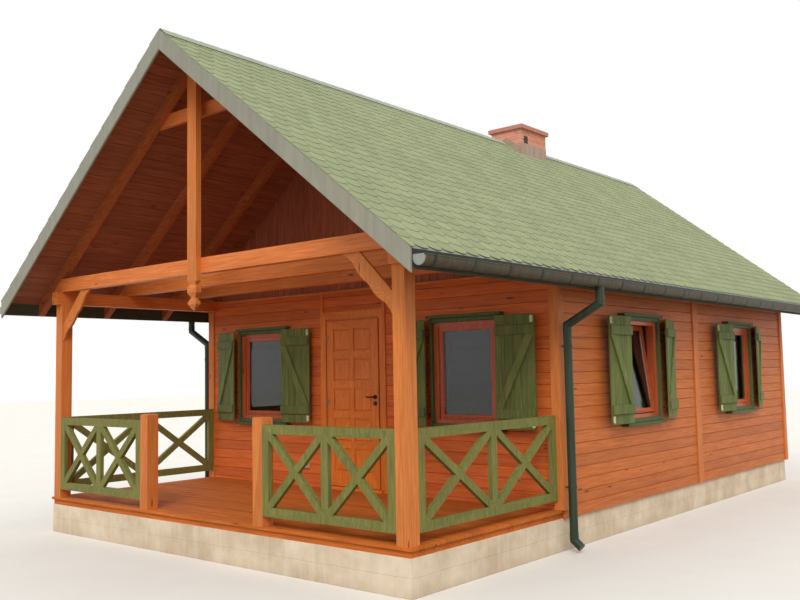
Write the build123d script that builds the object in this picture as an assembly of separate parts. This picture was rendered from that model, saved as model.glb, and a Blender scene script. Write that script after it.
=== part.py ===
from build123d import *
import os
from math import atan2, cos, floor, sqrt, tan

# Log cabin with an open front porch. All sizes are in millimetres.
# X runs across the front, +Y runs back along the ridge, Z is up from the ground.

# Clearances: between seated pieces, and how far a cutting block runs past a face
seat_gap = 0.3
past = 1

# Foundation and floors
foundation_width = 5520
foundation_length = 9275
foundation_height = 320
foundation_wall = 300
porch_depth = 2373
rim_height = 56
rim_width = 60
rim_recess = 8
deck_thickness = 30
deck_overhang = 14
joist_width = 60
joist_count = 5

# Walls
wall_thickness = 140
wall_plate_height = 150
wall_plate_width = 120
wall_plate_projection = 60
side_wall_height = 2370
gable_lap = 50
gable_ledge_height = 30
gable_ledge_out = 50
course_height = 121
cladding_thickness = 28
course_groove = 9
trim_width = 110
trim_thickness = 46
batten_width = 150
trim_end_gap = 2

# Roof
roof_length = 10540
front_overhang = 465
ridge_height = 5250
roof_over_plate = 238
eave_overhang = 430
roof_slab = 30
rafter_depth = 112
rafter_width = 80
bargeboard_depth = 157
bargeboard_thickness = 25
fascia_thickness = 22
fascia_height = 150
ridge_cap_wing = 130
ridge_cap_thickness = 6
ridge_cap_gap = 2
frame_spacing = 900
porch_frame_count = 3
house_frame_start = 2780
house_frame_spacing = 940
house_frame_end_gap = 100

# Porch carpentry
post_width = 135
post_inset = 18
newel_centre = 913
newel_height = 1000
newel_chamfer = 12
tie_beam_height = 155
tie_beam_width = 100
king_post_width = 144
king_post_thickness = 63
king_post_drop = 382
king_post_tip = 1
# carved drop: share of the shaft's half width, and height above the tip
king_post_profile = ((1, 302), (0.62, 267), (1, 237), (1, 183), (0.4, 134), (0.92, 88), (0.92, 65))
collar_height = 130
collar_thickness = 50
collar_drop = 720
brace_thickness = 60
brace_leg_near = 380
brace_leg_far = 590
brace_scallop = 28
brace_scallop_middle = 22
brace_lobe = 4
brace_notch = 18
brace_cusp_share = 0.2
brace_lobe_share = 0.37
railing_height = 935
railing_clearance = 94
railing_bar = 85
railing_thickness = 45
railing_lattice = 70

# Door
door_centre = -48
door_width = 840
door_height = 2000
door_thickness = 44
door_gap = 6
door_frame_width = 60
door_casing_width = 112
door_casing_reveal = 22
door_stop = 18
door_stop_gap = 4
over_door_strip = 45
door_casing_thickness = 46
threshold_height = 34
threshold_reach = 90
door_stile = 110
door_mid_stile = 56
door_top_rail = 96
door_rail = 77
door_hinge_count = 3
door_hinge_inset = 220
door_hinge_plate = 30
door_hinge_out = 10
hinge_plate_gap = 0.5
door_panel_rows = 5
door_panel_columns = 2
door_panel_height = 285
panel_recess = 12
panel_border = 15
panel_field_back = 2
panel_bevel = 50
handle_height = 1072
handle_backset = 50
handle_out = 52
handle_length = 100
handle_radius = 9
rosette_radius = 26
rosette_thickness = 9
key_drop = 76
key_radius = 9
key_out = 14

# Windows and shutters
window_height_centre = 1467
casing_width = 1000
casing_height = 1270
casing_side_board = 30
casing_head_board = 78
casing_lip = 32
casing_ear = 34
casing_side_depth = 86
casing_head_depth = 116
window_frame_stile = 65
window_frame_rail = 45
window_frame_depth = 90
window_frame_out = 45
sash_width = 45
sash_depth = 55
sash_recess = 15
glass_thickness = 20
glass_recess = 17
side_window_shares = (0.26, 0.714)
sash_tilt = 7
shutter_thickness = 44
shutter_board = 22
shutter_ledge_height = 100
shutter_ledge_inset = 110
shutter_brace_width = 90
shutter_gap = 6
shutter_end_gap = 12
hinge_radius = 8
hinge_pin_radius = 5
hinge_height = 40
hinge_eye_sides = 8
pintle_height = 12
pintle_arm = 8
pintle_grip = 20
pintle_end = 11
strap_length = 300
strap_height = 30
strap_thickness = 3.5
shutter_closed_gap = 5

# How far each leaf of the front and right windows stands turned past half a turn, in degrees
turn_front_left_outer = 13
turn_front_left_inner = 7
turn_front_right_outer = 4
turn_front_right_inner = 7
turn_right_fore_near = 3.5
turn_right_fore_far = 13
turn_right_aft_near = 6
turn_right_aft_far = 14

# Chimney
chimney_width = 530
chimney_depth = 700
chimney_from_front = 5780
chimney_rise = 190
chimney_cap_height = 60
chimney_cap_overhang = 50
chimney_hole_gap = 10
vent_width = 85
vent_height = 105
vent_depth = 60
vent_from_corner = 45
vent_below_cap = 100
flashing_width = 130
flashing_thickness = 5
flashing_end_upstand = 100
flashing_side_upstand = 185

# Rainwater goods
gutter_radius = 65
gutter_wall = 4
gutter_drop = 40
pipe_radius = 42
pipe_wall_gap = 35
pipe_from_front = 2371
pipe_outlet_drop = 190
pipe_swan_drop = 200
pipe_shoe_top = 120
pipe_shoe_reach = 80
pipe_shoe_end = 55

# Worked-out places
half_width = foundation_width / 2
front = -roof_length / 2 + front_overhang
back = front + foundation_length
house_front = front + porch_depth
floor_base = foundation_height
deck_top = foundation_height + rim_height + deck_thickness
plate_bottom = foundation_height + side_wall_height
plate_top = plate_bottom + wall_plate_height
gable_start = plate_top - gable_lap
house_length = foundation_length - porch_depth
inner_half = half_width - wall_thickness
post_outer = half_width - post_inset
post_front = front
pitch = atan2(ridge_height - plate_top - roof_over_plate, half_width)
eave_half_width = half_width + eave_overhang
collar_top = ridge_height - collar_drop
chimney_height = ridge_height + chimney_rise
roof_front = -roof_length / 2
roof_back = roof_length / 2
window_low = foundation_height + window_height_centre - casing_height / 2
window_high = window_low + casing_height
opening_half = casing_width / 2 - casing_ear - casing_side_board
opening_low = window_low + casing_head_board
opening_high = window_high - casing_head_board
front_window_centre = (half_width + door_width / 2 + door_casing_width) / 2
side_window_centres = [porch_depth + share * house_length for share in side_window_shares]


def block(x0, x1, y0, y1, z0, z1):
    middle = Pos((x0 + x1) / 2, (y0 + y1) / 2, (z0 + z1) / 2)
    return middle * Box(abs(x1 - x0), abs(y1 - y0), abs(z1 - z0))


def along_y(points, y0, y1):
    outline = Polyline(*[(x, y0, z) for x, z in points], close=True)
    return extrude(make_face(outline), amount=y1 - y0, dir=(0, 1, 0))


def along_x(points, x0, x1):
    outline = Polyline(*[(x0, y, z) for y, z in points], close=True)
    return extrude(make_face(outline), amount=x1 - x0, dir=(1, 0, 0))


def mirrored(shape):
    return shape.mirror(Plane.YZ)


def roof_z(x, depth=0):
    return ridge_height - abs(x) * tan(pitch) - depth / cos(pitch)


def save(name, *shapes):
    os.makedirs("parts", exist_ok=True)
    solids = [solid for shape in shapes for solid in shape.solids()]
    export_step(Compound(children=solids) if len(solids) > 1 else solids[0], f"parts/{name}.step")


def both(shape):
    return [shape, mirrored(shape)]


# Foundation walls of concrete, under the porch edge, the house front and the sides
def foundation_cross_walls():
    x = half_width
    return [
        block(-x, x, front, front + foundation_wall, 0, floor_base),
        block(-x, x, back - foundation_wall, back, 0, floor_base),
        block(-x + foundation_wall, x - foundation_wall, house_front, house_front + foundation_wall,
              0, floor_base),
    ]


def foundation_side_walls():
    side = block(half_width - foundation_wall, half_width, front + foundation_wall,
                 back - foundation_wall, 0, floor_base)
    return both(side)


# Porch deck on its rim and joists
def porch_rim():
    x = half_width - rim_recess
    top = floor_base + rim_height
    y0 = front + rim_recess
    outer = block(-x, x, y0, house_front - seat_gap, floor_base, top)
    inner = block(-x + rim_width, x - rim_width, y0 + rim_width, house_front - rim_width, floor_base, top)
    frame = outer - inner
    pitch_x = 2 * (x - rim_width) / (joist_count + 1)
    for number in range(1, joist_count + 1):
        middle = -x + rim_width + number * pitch_x
        frame += block(middle - joist_width / 2, middle + joist_width / 2, y0 + rim_width,
                       house_front - rim_width, floor_base, top)
    return frame


def porch_deck():
    x = half_width + deck_overhang
    return block(-x, x, front - deck_overhang, house_front - seat_gap, floor_base + rim_height, deck_top)


def house_floor():
    slab = block(-inner_half + seat_gap, inner_half - seat_gap, house_front + wall_thickness + seat_gap,
                 back - wall_thickness - seat_gap, floor_base, deck_top)
    return slab - chimney_block(seat_gap, floor_base - past, deck_top + past)


# Walls: a core with the openings, and log siding on its outside
def front_openings(y0, y1):
    cuts = []
    for side in (-1, 1):
        middle = side * front_window_centre
        cuts.append(block(middle - opening_half, middle + opening_half, y0, y1, opening_low, opening_high))
    return cuts


def side_openings(x0, x1):
    cuts = []
    for distance in side_window_centres:
        middle = front + distance
        cuts.append(block(x0, x1, middle - opening_half, middle + opening_half, opening_low, opening_high))
    return cuts


door_opening_low = deck_top
door_opening_half = door_width / 2 + door_gap + door_frame_width
door_opening_high = deck_top + threshold_height + door_height + 2 * door_gap + door_frame_width


def front_wall_side(side):
    edge = door_centre + side * (door_opening_half + seat_gap)
    panel = block(side * (inner_half - seat_gap), edge, house_front, house_front + wall_thickness,
                  floor_base, gable_start - seat_gap)
    for cut in front_openings(house_front - past, house_front + wall_thickness + past):
        panel -= cut
    return panel


def front_wall_over_door():
    x0 = door_centre - door_opening_half
    x1 = door_centre + door_opening_half
    return block(x0, x1, house_front, house_front + wall_thickness, door_opening_high, gable_start - seat_gap)


def front_wall_under_door():
    x0 = door_centre - door_opening_half
    x1 = door_centre + door_opening_half
    return block(x0, x1, house_front, house_front + wall_thickness, floor_base, door_opening_low)


def side_wall():
    panel = block(inner_half, half_width, house_front, back, floor_base, plate_bottom)
    for cut in side_openings(inner_half - past, half_width + past):
        panel -= cut
    return panel


def back_wall():
    panel = block(-inner_half + seat_gap, inner_half - seat_gap, back - wall_thickness, back,
                  floor_base, gable_start - seat_gap)
    for cut in front_openings(back - wall_thickness - past, back + past):
        panel -= cut
    return panel


def siding_profile(top):
    # outline of the siding in (outward, height): flat boards with a V groove at each course
    points = [(0, floor_base), (cladding_thickness, floor_base)]
    courses = floor((top - floor_base) / course_height)
    for number in range(1, courses + 1):
        z = floor_base + number * course_height
        if z + course_groove < top:
            points.append((cladding_thickness, z - course_groove / 2))
            points.append((cladding_thickness - course_groove, z))
            points.append((cladding_thickness, z + course_groove / 2))
    points.append((cladding_thickness, top))
    points.append((0, top))
    return points


siding_end = half_width - seat_gap


def front_siding():
    face = house_front - seat_gap
    points = [(face - out, z) for out, z in siding_profile(gable_start)]
    panel = along_x(points, -siding_end, siding_end)
    y0 = face - cladding_thickness - past
    y1 = face + past
    for cut in front_openings(y0, y1):
        panel -= cut
    panel -= block(door_centre - door_opening_half, door_centre + door_opening_half, y0, y1,
                   floor_base - past, door_opening_high)
    panel -= block(-siding_end - past, siding_end + past, y0, y1, floor_base - past, deck_top + seat_gap)
    for cut in both(block(inner_half - past, half_width + past, y0, y1,
                          plate_bottom - seat_gap, plate_top + seat_gap)):
        panel -= cut
    return panel


def back_siding():
    face = back + seat_gap
    points = [(face + out, z) for out, z in siding_profile(gable_start)]
    panel = along_x(points, -siding_end, siding_end)
    for cut in front_openings(face - past, face + cladding_thickness + past):
        panel -= cut
    return panel


def side_siding():
    face = half_width + seat_gap
    points = [(face + out, z) for out, z in siding_profile(plate_top)]
    panel = along_y(points, house_front, back)
    for cut in side_openings(face - past, face + cladding_thickness + past):
        panel -= cut
    return panel


def gable(y0, y1):
    inner = inner_half - seat_gap
    outer = half_width - seat_gap
    top = roof_slab + seat_gap
    right = [(inner, gable_start), (inner, plate_top + seat_gap), (outer, plate_top + seat_gap),
             (outer, roof_z(outer, top))]
    left = [(-x, z) for x, z in reversed(right)]
    return along_y(right + [(0, roof_z(0, top))] + left, y0, y1)


def gable_ledge(face_y, side_y):
    # drip board on top of the siding, at the foot of the gable's upright boards
    x = post_outer - wall_plate_width - seat_gap
    z0 = gable_start + seat_gap
    return block(-x, x, face_y + side_y * seat_gap, face_y + side_y * gable_ledge_out,
                 z0, z0 + gable_ledge_height)


# Trim boards at the corners and at the middle of each long wall
def corner_trim(side_y, face_y, z_low):
    face_x = half_width + seat_gap
    x1 = face_x + trim_thickness
    y0 = face_y + side_y * (cladding_thickness + 2 * seat_gap)
    y1 = face_y + side_y * (trim_thickness + seat_gap)
    z_high = plate_bottom - trim_end_gap
    leg_x = block(x1 - trim_width, x1, y0, y1, z_low, z_high)
    leg_y = block(face_x + cladding_thickness + seat_gap, x1, y0, y1 - side_y * trim_width, z_low, z_high)
    return leg_x + leg_y


def batten():
    x0 = half_width + cladding_thickness + 2 * seat_gap
    middle = house_front + house_length / 2
    return block(x0, half_width + trim_thickness, middle - batten_width / 2, middle + batten_width / 2,
                 floor_base, plate_top)


# Porch carpentry
def porch_posts():
    post = block(post_outer - post_width, post_outer, post_front, post_front + post_width,
                 deck_top, plate_bottom)
    newel = block(newel_centre - post_width / 2, newel_centre + post_width / 2, post_front,
                  post_front + post_width, deck_top, deck_top + newel_height)
    newel = chamfer(newel.faces().sort_by(Axis.Z)[-1].edges(), newel_chamfer)
    return both(post) + both(newel)


def wall_plate():
    x1 = post_outer
    return block(x1 - wall_plate_width, x1, front - wall_plate_projection, back, plate_bottom, plate_top)


def frame_positions():
    porch = [front + number * frame_spacing for number in range(porch_frame_count)]
    last = foundation_length - wall_thickness - tie_beam_width - house_frame_end_gap
    count = 1 + floor((last - house_frame_start) / house_frame_spacing)
    house = [front + house_frame_start + number * house_frame_spacing for number in range(count)]
    return porch + house


def roof_reach(z, depth):
    # half width at height z of what lies this deep under the roof
    return (ridge_height - depth / cos(pitch) - z) / tan(pitch)


def tie_beam(y):
    under = roof_slab + rafter_depth + seat_gap
    top = plate_top + tie_beam_height
    low_reach = roof_reach(plate_top, under)
    high_reach = roof_reach(top, under)
    points = [(-low_reach, plate_top), (low_reach, plate_top), (high_reach, top), (-high_reach, top)]
    return along_y(points, y, y + tie_beam_width)


def rafter(y):
    outer = eave_half_width - fascia_thickness - seat_gap
    low = roof_slab + rafter_depth
    points = [(seat_gap, roof_z(seat_gap, roof_slab)), (outer, roof_z(outer, roof_slab)),
              (outer, roof_z(outer, low)), (seat_gap, roof_z(seat_gap, low))]
    return along_y(points, y, y + rafter_width)


def king_post():
    w = king_post_width / 2
    tip = plate_top - king_post_drop
    top = roof_slab + seat_gap

    def drop(half):
        # right-hand outline of the carved drop from the shaft down to the tip, for a shaft this wide
        return [(share * half, tip + height) for share, height in king_post_profile] + [(king_post_tip, tip)]

    right = [(w, roof_z(w, top))] + drop(w)
    outline = [(0, roof_z(0, top))] + right + [(-x, z) for x, z in reversed(right)]
    front_view = along_y(outline, front - king_post_thickness - seat_gap, front - seat_gap)
    t = king_post_thickness / 2
    middle = front - t - seat_gap
    side = [(t, ridge_height)] + drop(t)
    side_outline = [(middle + y, z) for y, z in side] + [(middle - y, z) for y, z in reversed(side)]
    side_view = along_x(side_outline, -w - past, w + past)
    return front_view & side_view


def collar_tie():
    under = roof_slab + seat_gap
    bottom = collar_top - collar_height
    low_reach = roof_reach(bottom, under)
    high_reach = roof_reach(collar_top, under)
    points = [(-low_reach, bottom), (low_reach, bottom), (high_reach, collar_top), (-high_reach, collar_top)]
    y = front + rafter_width + seat_gap
    return along_y(points, y, y + collar_thickness)


def knee_brace():
    x_post = post_outer - post_width - seat_gap
    z_beam = plate_top - seat_gap

    def corner(across, down):
        # a place on the brace, measured from the post's face and from the beam's underside
        return (x_post - across, post_front, z_beam - down)

    def low_edge(share, depth):
        # a place this far along the carved edge from beam to post, cut this deep into it
        sunk = depth / sqrt(2)
        return corner(brace_leg_far * (1 - share) - sunk, brace_leg_far * share - sunk)

    def carved(flipped):
        # one half of the carved edge: a scallop at its end, then a lobe down to the notch in the middle
        def place(share, depth):
            return low_edge(1 - share if flipped else share, depth)

        cusp = place(brace_cusp_share, brace_scallop)
        scallop = ThreePointArc(place(0, 0), place(brace_cusp_share / 2, brace_scallop_middle), cusp)
        lobe = ThreePointArc(cusp, place(brace_lobe_share, brace_lobe), place(1 / 2, brace_notch))
        return [scallop, lobe]

    edges = carved(False) + carved(True)
    edges.append(Line(corner(0, brace_leg_far), corner(0, brace_leg_near)))
    edges.append(Line(corner(0, brace_leg_near), corner(brace_leg_near, 0)))
    edges.append(Line(corner(brace_leg_near, 0), corner(brace_leg_far, 0)))
    shape = extrude(make_face(Wire(edges)), amount=brace_thickness, dir=(0, 1, 0))
    return Pos(0, (tie_beam_width - brace_thickness) / 2, 0) * shape


# Railing panels: a frame with a cross in each of two bays, all in one plane
def railing(length):
    t = railing_thickness
    low = deck_top + railing_clearance
    high = deck_top + railing_height
    b = railing_bar
    panel = block(0, length, 0, t, high - b, high) + block(0, length, 0, t, low, low + b)
    stiles = [0, length / 2 - b / 2, length - b]
    for x in stiles:
        panel += block(x, x + b, 0, t, low, high)
    z0 = low + b
    z1 = high - b
    for x0, x1 in ((b, length / 2 - b / 2), (length / 2 + b / 2, length - b)):
        run = x1 - x0
        rise = z1 - z0
        slant = railing_lattice / 2 * sqrt(run * run + rise * rise)
        dx = slant / rise
        for za, zb in ((z0, z1), (z1, z0)):
            bar = along_y([(x0 - dx, za), (x0 + dx, za), (x1 + dx, zb), (x1 - dx, zb)], 0, t)
            panel += bar & block(x0 - past, x1 + past, 0, t, z0 - past, z1 + past)
    return panel


def front_railing(side):
    length = post_outer - post_width - newel_centre - post_width / 2 - 2 * seat_gap
    panel = Pos(newel_centre + post_width / 2 + seat_gap, front, 0) * railing(length)
    return panel if side > 0 else mirrored(panel)


def side_railing(side):
    length = house_front - trim_thickness - 4 * seat_gap - front - post_width
    panel = Pos(post_outer, front + post_width + seat_gap, 0) * Rot(0, 0, 90) * railing(length)
    return panel if side > 0 else mirrored(panel)


# Roof slabs, ridge, bargeboards and fascias
def chimney_block(gap, z0, z1):
    x = chimney_width / 2 + gap
    y0 = front + chimney_from_front
    return block(-x, x, y0 - gap, y0 + chimney_depth + gap, z0, z1)


def roof_slope():
    y0 = roof_front + bargeboard_thickness + seat_gap
    y1 = roof_back - bargeboard_thickness - seat_gap
    x0 = seat_gap
    x1 = eave_half_width
    slab = along_y([(x0, roof_z(x0)), (x1, roof_z(x1)), (x1, roof_z(x1, roof_slab)),
                    (x0, roof_z(x0, roof_slab))], y0, y1)
    return slab - chimney_block(chimney_hole_gap, plate_top, chimney_height)


def bargeboard(y0, y1):
    x0 = seat_gap
    x1 = eave_half_width
    return along_y([(x0, roof_z(x0)), (x1, roof_z(x1)), (x1, roof_z(x1, bargeboard_depth)),
                    (x0, roof_z(x0, bargeboard_depth))], y0, y1)


def fascia():
    x1 = eave_half_width
    x0 = x1 - fascia_thickness
    top = roof_slab + seat_gap
    y0 = roof_front + bargeboard_thickness + seat_gap
    return along_y([(x0, roof_z(x0, top)), (x1, roof_z(x1, top)), (x1, roof_z(x1, top) - fascia_height),
                    (x0, roof_z(x1, top) - fascia_height)], y0, -y0)


def ridge_caps():
    gap = seat_gap
    t = ridge_cap_thickness
    w = ridge_cap_wing
    outline = [(0, roof_z(0, -gap)), (w, roof_z(w, -gap)), (w, roof_z(w, -gap - t)), (0, roof_z(0, -gap - t)),
               (-w, roof_z(w, -gap - t)), (-w, roof_z(w, -gap))]
    y_chimney = front + chimney_from_front
    room = flashing_width + ridge_cap_gap
    return [along_y(outline, roof_front, y_chimney - room),
            along_y(outline, y_chimney + chimney_depth + room, roof_back)]


# Chimney stack, cap and flashing
def chimney_stack():
    x1 = chimney_width / 2
    y0 = front + chimney_from_front + vent_from_corner
    z1 = chimney_height - vent_below_cap
    vent = block(x1 - vent_depth, x1 + past, y0, y0 + vent_width, z1 - vent_height, z1)
    return chimney_block(0, 0, chimney_height) - vent


def chimney_cap():
    return chimney_block(chimney_cap_overhang, chimney_height, chimney_height + chimney_cap_height)


def over_roof(half, low, high, y0, y1):
    # a chevron strip over the ridge, between two distances up from the roof
    right = [(half, roof_z(half) + low), (half, roof_z(half) + high)]
    left = [(-x, z) for x, z in reversed(right)]
    return along_y([(0, roof_z(0) + low)] + right + [(0, roof_z(0) + high)] + left, y0, y1)


def flashing():
    # a sheet on the roof, with upstands on the four sides of the stack
    w = chimney_width / 2 + flashing_width
    y0 = front + chimney_from_front - flashing_width
    y1 = y0 + chimney_depth + 2 * flashing_width
    sheet = over_roof(w, seat_gap, seat_gap + flashing_thickness / cos(pitch), y0, y1)
    side = roof_z(chimney_width / 2) + flashing_side_upstand
    collar = chimney_block(seat_gap + flashing_thickness, plate_top, side)
    collar -= block(-chimney_width / 2, chimney_width / 2, y0, y1, plate_top - past, side + past)
    collar += over_roof(chimney_width / 2 + seat_gap + flashing_thickness, seat_gap, flashing_end_upstand,
                        y0 + flashing_width - seat_gap - flashing_thickness,
                        y1 - flashing_width + seat_gap + flashing_thickness)
    collar -= under_roof(w)
    return sheet + collar - chimney_block(seat_gap, plate_top, chimney_height)


def under_roof(half):
    # everything between the wall plates and the roof's upper face, as a cutting block
    outline = [(-half, plate_top - past), (half, plate_top - past), (half, roof_z(half) + seat_gap),
               (0, roof_z(0) + seat_gap), (-half, roof_z(half) + seat_gap)]
    return along_y(outline, roof_front, roof_back)


# Gutters and downpipes
def gutter():
    x = eave_half_width + gutter_radius + seat_gap
    z = roof_z(eave_half_width) - gutter_drop
    y0 = roof_front + bargeboard_thickness
    length = roof_length - 2 * bargeboard_thickness
    outer = Pos(x, 0, z) * Rot(90, 0, 0) * Cylinder(gutter_radius, length)
    inner = Pos(x, 0, z) * Rot(90, 0, 0) * Cylinder(gutter_radius - gutter_wall, length - 2 * gutter_wall)
    shell = outer - inner
    return shell & block(x - gutter_radius, x + gutter_radius, roof_front, roof_back, z - gutter_radius, z)


def downpipe():
    x_gutter = eave_half_width + gutter_radius + seat_gap
    z_gutter = roof_z(eave_half_width) - gutter_drop - gutter_radius - seat_gap
    x_wall = half_width + trim_thickness + pipe_wall_gap + pipe_radius
    y = front + pipe_from_front
    z_outlet = z_gutter - pipe_outlet_drop
    path = Polyline((x_gutter, y, z_gutter), (x_gutter, y, z_outlet),
                    (x_wall, y, z_outlet - pipe_swan_drop), (x_wall, y, pipe_shoe_top),
                    (x_wall + pipe_shoe_reach, y, pipe_shoe_end))
    section = Plane(path @ 0, z_dir=path % 0) * Circle(pipe_radius)
    return sweep(section, path=path, transition=Transition.RIGHT)


# Entrance door with its frame, threshold, casing and handle
leaf_low = deck_top + threshold_height + door_gap
leaf_high = leaf_low + door_height
door_left = door_centre - door_width / 2
door_right = door_centre + door_width / 2
leaf_front = house_front - door_casing_thickness
leaf_back = leaf_front + door_thickness


def door_frame():
    y0 = house_front - cladding_thickness - seat_gap
    y1 = house_front + wall_thickness
    out = door_opening_half - seat_gap
    inner = door_width / 2 + door_gap
    low = deck_top + seat_gap
    high = leaf_high + door_gap
    frame = block(door_centre - out, door_centre + out, y0, y1, low, door_opening_high - seat_gap)
    frame -= block(door_centre - inner, door_centre + inner, y0 - past, y1 + past,
                   deck_top + threshold_height, high)
    rebate = leaf_back + door_stop_gap
    ring = block(door_centre - inner, door_centre + inner, rebate, y1, low, high)
    ring -= block(door_centre - inner + door_stop, door_centre + inner - door_stop, rebate - past, y1 + past,
                  low - past, high - door_stop)
    sill = block(door_centre - out, door_centre + out, house_front - threshold_reach, y1,
                 low, deck_top + threshold_height)
    return frame + ring + sill + door_casing(y0, low)


def door_casing(face, low):
    # boards round the opening, with a strip on each side that runs on up to the gable
    y0 = face - (door_casing_thickness - cladding_thickness)
    out = door_width / 2 + door_casing_width
    inner = door_width / 2 + door_casing_reveal
    top = leaf_high + door_casing_width
    casing = block(door_centre - out, door_centre + out, y0, face, low, top)
    casing -= block(door_centre - inner, door_centre + inner, y0 - past, face + past,
                    low - past, leaf_high + door_casing_reveal)
    for x in (door_centre - out, door_centre + out - over_door_strip):
        casing += block(x, x + over_door_strip, y0, face, top, gable_start - seat_gap)
    return casing


def door_leaf():
    leaf = block(door_left, door_right, leaf_front, leaf_back, leaf_low, leaf_high)
    panel_width = (door_width - 2 * door_stile - door_mid_stile) / door_panel_columns
    for column in range(door_panel_columns):
        x0 = door_left + door_stile + column * (panel_width + door_mid_stile)
        for row in range(door_panel_rows):
            z1 = leaf_high - door_top_rail - row * (door_panel_height + door_rail)
            z0 = z1 - door_panel_height
            leaf -= block(x0, x0 + panel_width, leaf_front - past, leaf_front + panel_recess, z0, z1)
            field = Rectangle(panel_width - 2 * panel_border, door_panel_height - 2 * panel_border)
            raised = extrude(field, amount=panel_recess - panel_field_back, taper=panel_bevel)
            middle = Pos(x0 + panel_width / 2, leaf_front + panel_recess, (z0 + z1) / 2)
            leaf += middle * Rot(90, 0, 0) * raised
    return leaf


# Door hinges: barrels on the leaf turn on pins that stand in barrels on the frame
door_hinge_x = door_left - door_gap / 2
door_hinge_y = leaf_front - door_hinge_out
hinge_span = (door_height - 2 * door_hinge_inset) / (door_hinge_count - 1)
door_hinge_heights = [leaf_low + door_hinge_inset + number * hinge_span for number in range(door_hinge_count)]


def hinge_barrel(x, y, middle):
    outline = RegularPolygon(hinge_radius, hinge_eye_sides)
    return Pos(x, y, middle - hinge_height / 2) * extrude(outline, amount=hinge_height)


def hinge_eye(x, y, middle, plate):
    # a barrel with its plate, and room for the pin inside
    outline = RegularPolygon(hinge_pin_radius + seat_gap, hinge_eye_sides, major_radius=False)
    bore = Pos(x, y, middle - hinge_height) * extrude(outline, amount=2 * hinge_height)
    return (hinge_barrel(x, y, middle) + plate) - bore


def hinge_pin(x, y, middle):
    return Pos(x, y, middle) * Cylinder(hinge_pin_radius, hinge_height)


def door_hinge_seats():
    seats = []
    for z in door_hinge_heights:
        x = door_hinge_x
        y = door_hinge_y
        plate = block(x - door_hinge_plate, x - door_gap / 2 - hinge_plate_gap, y + hinge_radius / 2,
                      leaf_front - seat_gap, z - hinge_height, z)
        middle = z + hinge_height / 2
        seats.append(hinge_barrel(x, y, middle - hinge_height) + plate + hinge_pin(x, y, middle))
    return seats


def door_hinge_leaves():
    leaves = []
    for z in door_hinge_heights:
        x = door_hinge_x
        y = door_hinge_y
        z0 = z + seat_gap
        plate = block(x + door_gap / 2 + hinge_plate_gap, x + door_hinge_plate, y + hinge_radius / 2,
                      leaf_front - seat_gap, z0, z0 + hinge_height)
        leaves.append(hinge_eye(x, y, z0 + hinge_height / 2, plate))
    return leaves


def door_handle():
    # a lever on a round rosette, and the key cylinder in its own rosette below
    x = door_right - handle_backset
    z = deck_top + handle_height
    y = leaf_front - seat_gap

    def disc(radius, height, out):
        return Pos(x, y - out / 2, height) * Rot(90, 0, 0) * Cylinder(radius, out)

    route = Polyline((x, y, z), (x, y - handle_out, z), (x - handle_length, y - handle_out, z))
    lever = sweep(Plane(route @ 0, z_dir=route % 0) * Circle(handle_radius), path=route,
                  transition=Transition.RIGHT)
    rosette = disc(rosette_radius, z, rosette_thickness)
    key_rosette = disc(rosette_radius, z - key_drop, rosette_thickness)
    key_cylinder = disc(key_radius, z - key_drop, key_out)
    return [lever + rosette, key_rosette + key_cylinder]


# Windows: frame, sash and glass built round the origin facing -Y, then set in a wall
frame_front = -window_frame_out
sash_front = frame_front + sash_recess
glass_front = sash_front + glass_recess


def ring(half, low, high, stile, rail, y0, y1):
    outer = block(-half, half, y0, y1, low, high)
    return outer - block(-half + stile, half - stile, y0 - past, y1 + past, low + rail, high - rail)


def window_frame():
    return ring(opening_half - seat_gap, opening_low + seat_gap, opening_high - seat_gap,
                window_frame_stile, window_frame_rail, frame_front, frame_front + window_frame_depth)


sash_half = opening_half - window_frame_stile - 2 * seat_gap
sash_low = opening_low + window_frame_rail + 2 * seat_gap
sash_high = opening_high - window_frame_rail - 2 * seat_gap


def window_sash():
    return ring(sash_half, sash_low, sash_high, sash_width, sash_width, sash_front, sash_front + sash_depth)


def window_glass():
    h = sash_half - sash_width - seat_gap
    return block(-h, h, glass_front, glass_front + glass_thickness,
                 sash_low + sash_width + seat_gap, sash_high - sash_width - seat_gap)


def tilted(shape):
    # leant into the room about the lower inner edge of the sash
    y = sash_front + sash_depth
    z = opening_low + window_frame_rail
    return Pos(0, y, z) * Rot(-sash_tilt, 0, 0) * Pos(0, -y, -z) * shape


def window_casing(hinged):
    # upright side boards seen edge on, a head and a sill with a lip in front, and the shutters' pintles
    h = casing_width / 2
    y1 = -cladding_thickness - 2 * seat_gap
    frame = ring(shutter_pivot, window_low, window_high, casing_side_board, casing_head_board,
                 -casing_side_depth, y1)
    frame += block(-h, h, -casing_head_depth, y1, window_high - casing_lip, window_high)
    frame += block(-h, h, -casing_head_depth, y1, window_low, window_low + casing_lip)
    for z in strap_heights:
        frame += pintle(z, hinged)
        frame += mirrored(pintle(z, hinged))
    return frame


# Plank shutters hang from straps that turn on the pintles
shutter_axis_out = casing_side_depth + shutter_closed_gap + shutter_thickness + hinge_radius + seat_gap
shutter_pivot = casing_width / 2 - casing_ear
shutter_width = shutter_pivot - shutter_gap
shutter_low = window_low + casing_lip + shutter_end_gap
shutter_high = window_high - casing_lip - shutter_end_gap
strap_heights = (shutter_low + shutter_ledge_inset + shutter_ledge_height / 2,
                 shutter_high - shutter_ledge_inset - shutter_ledge_height / 2)


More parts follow.
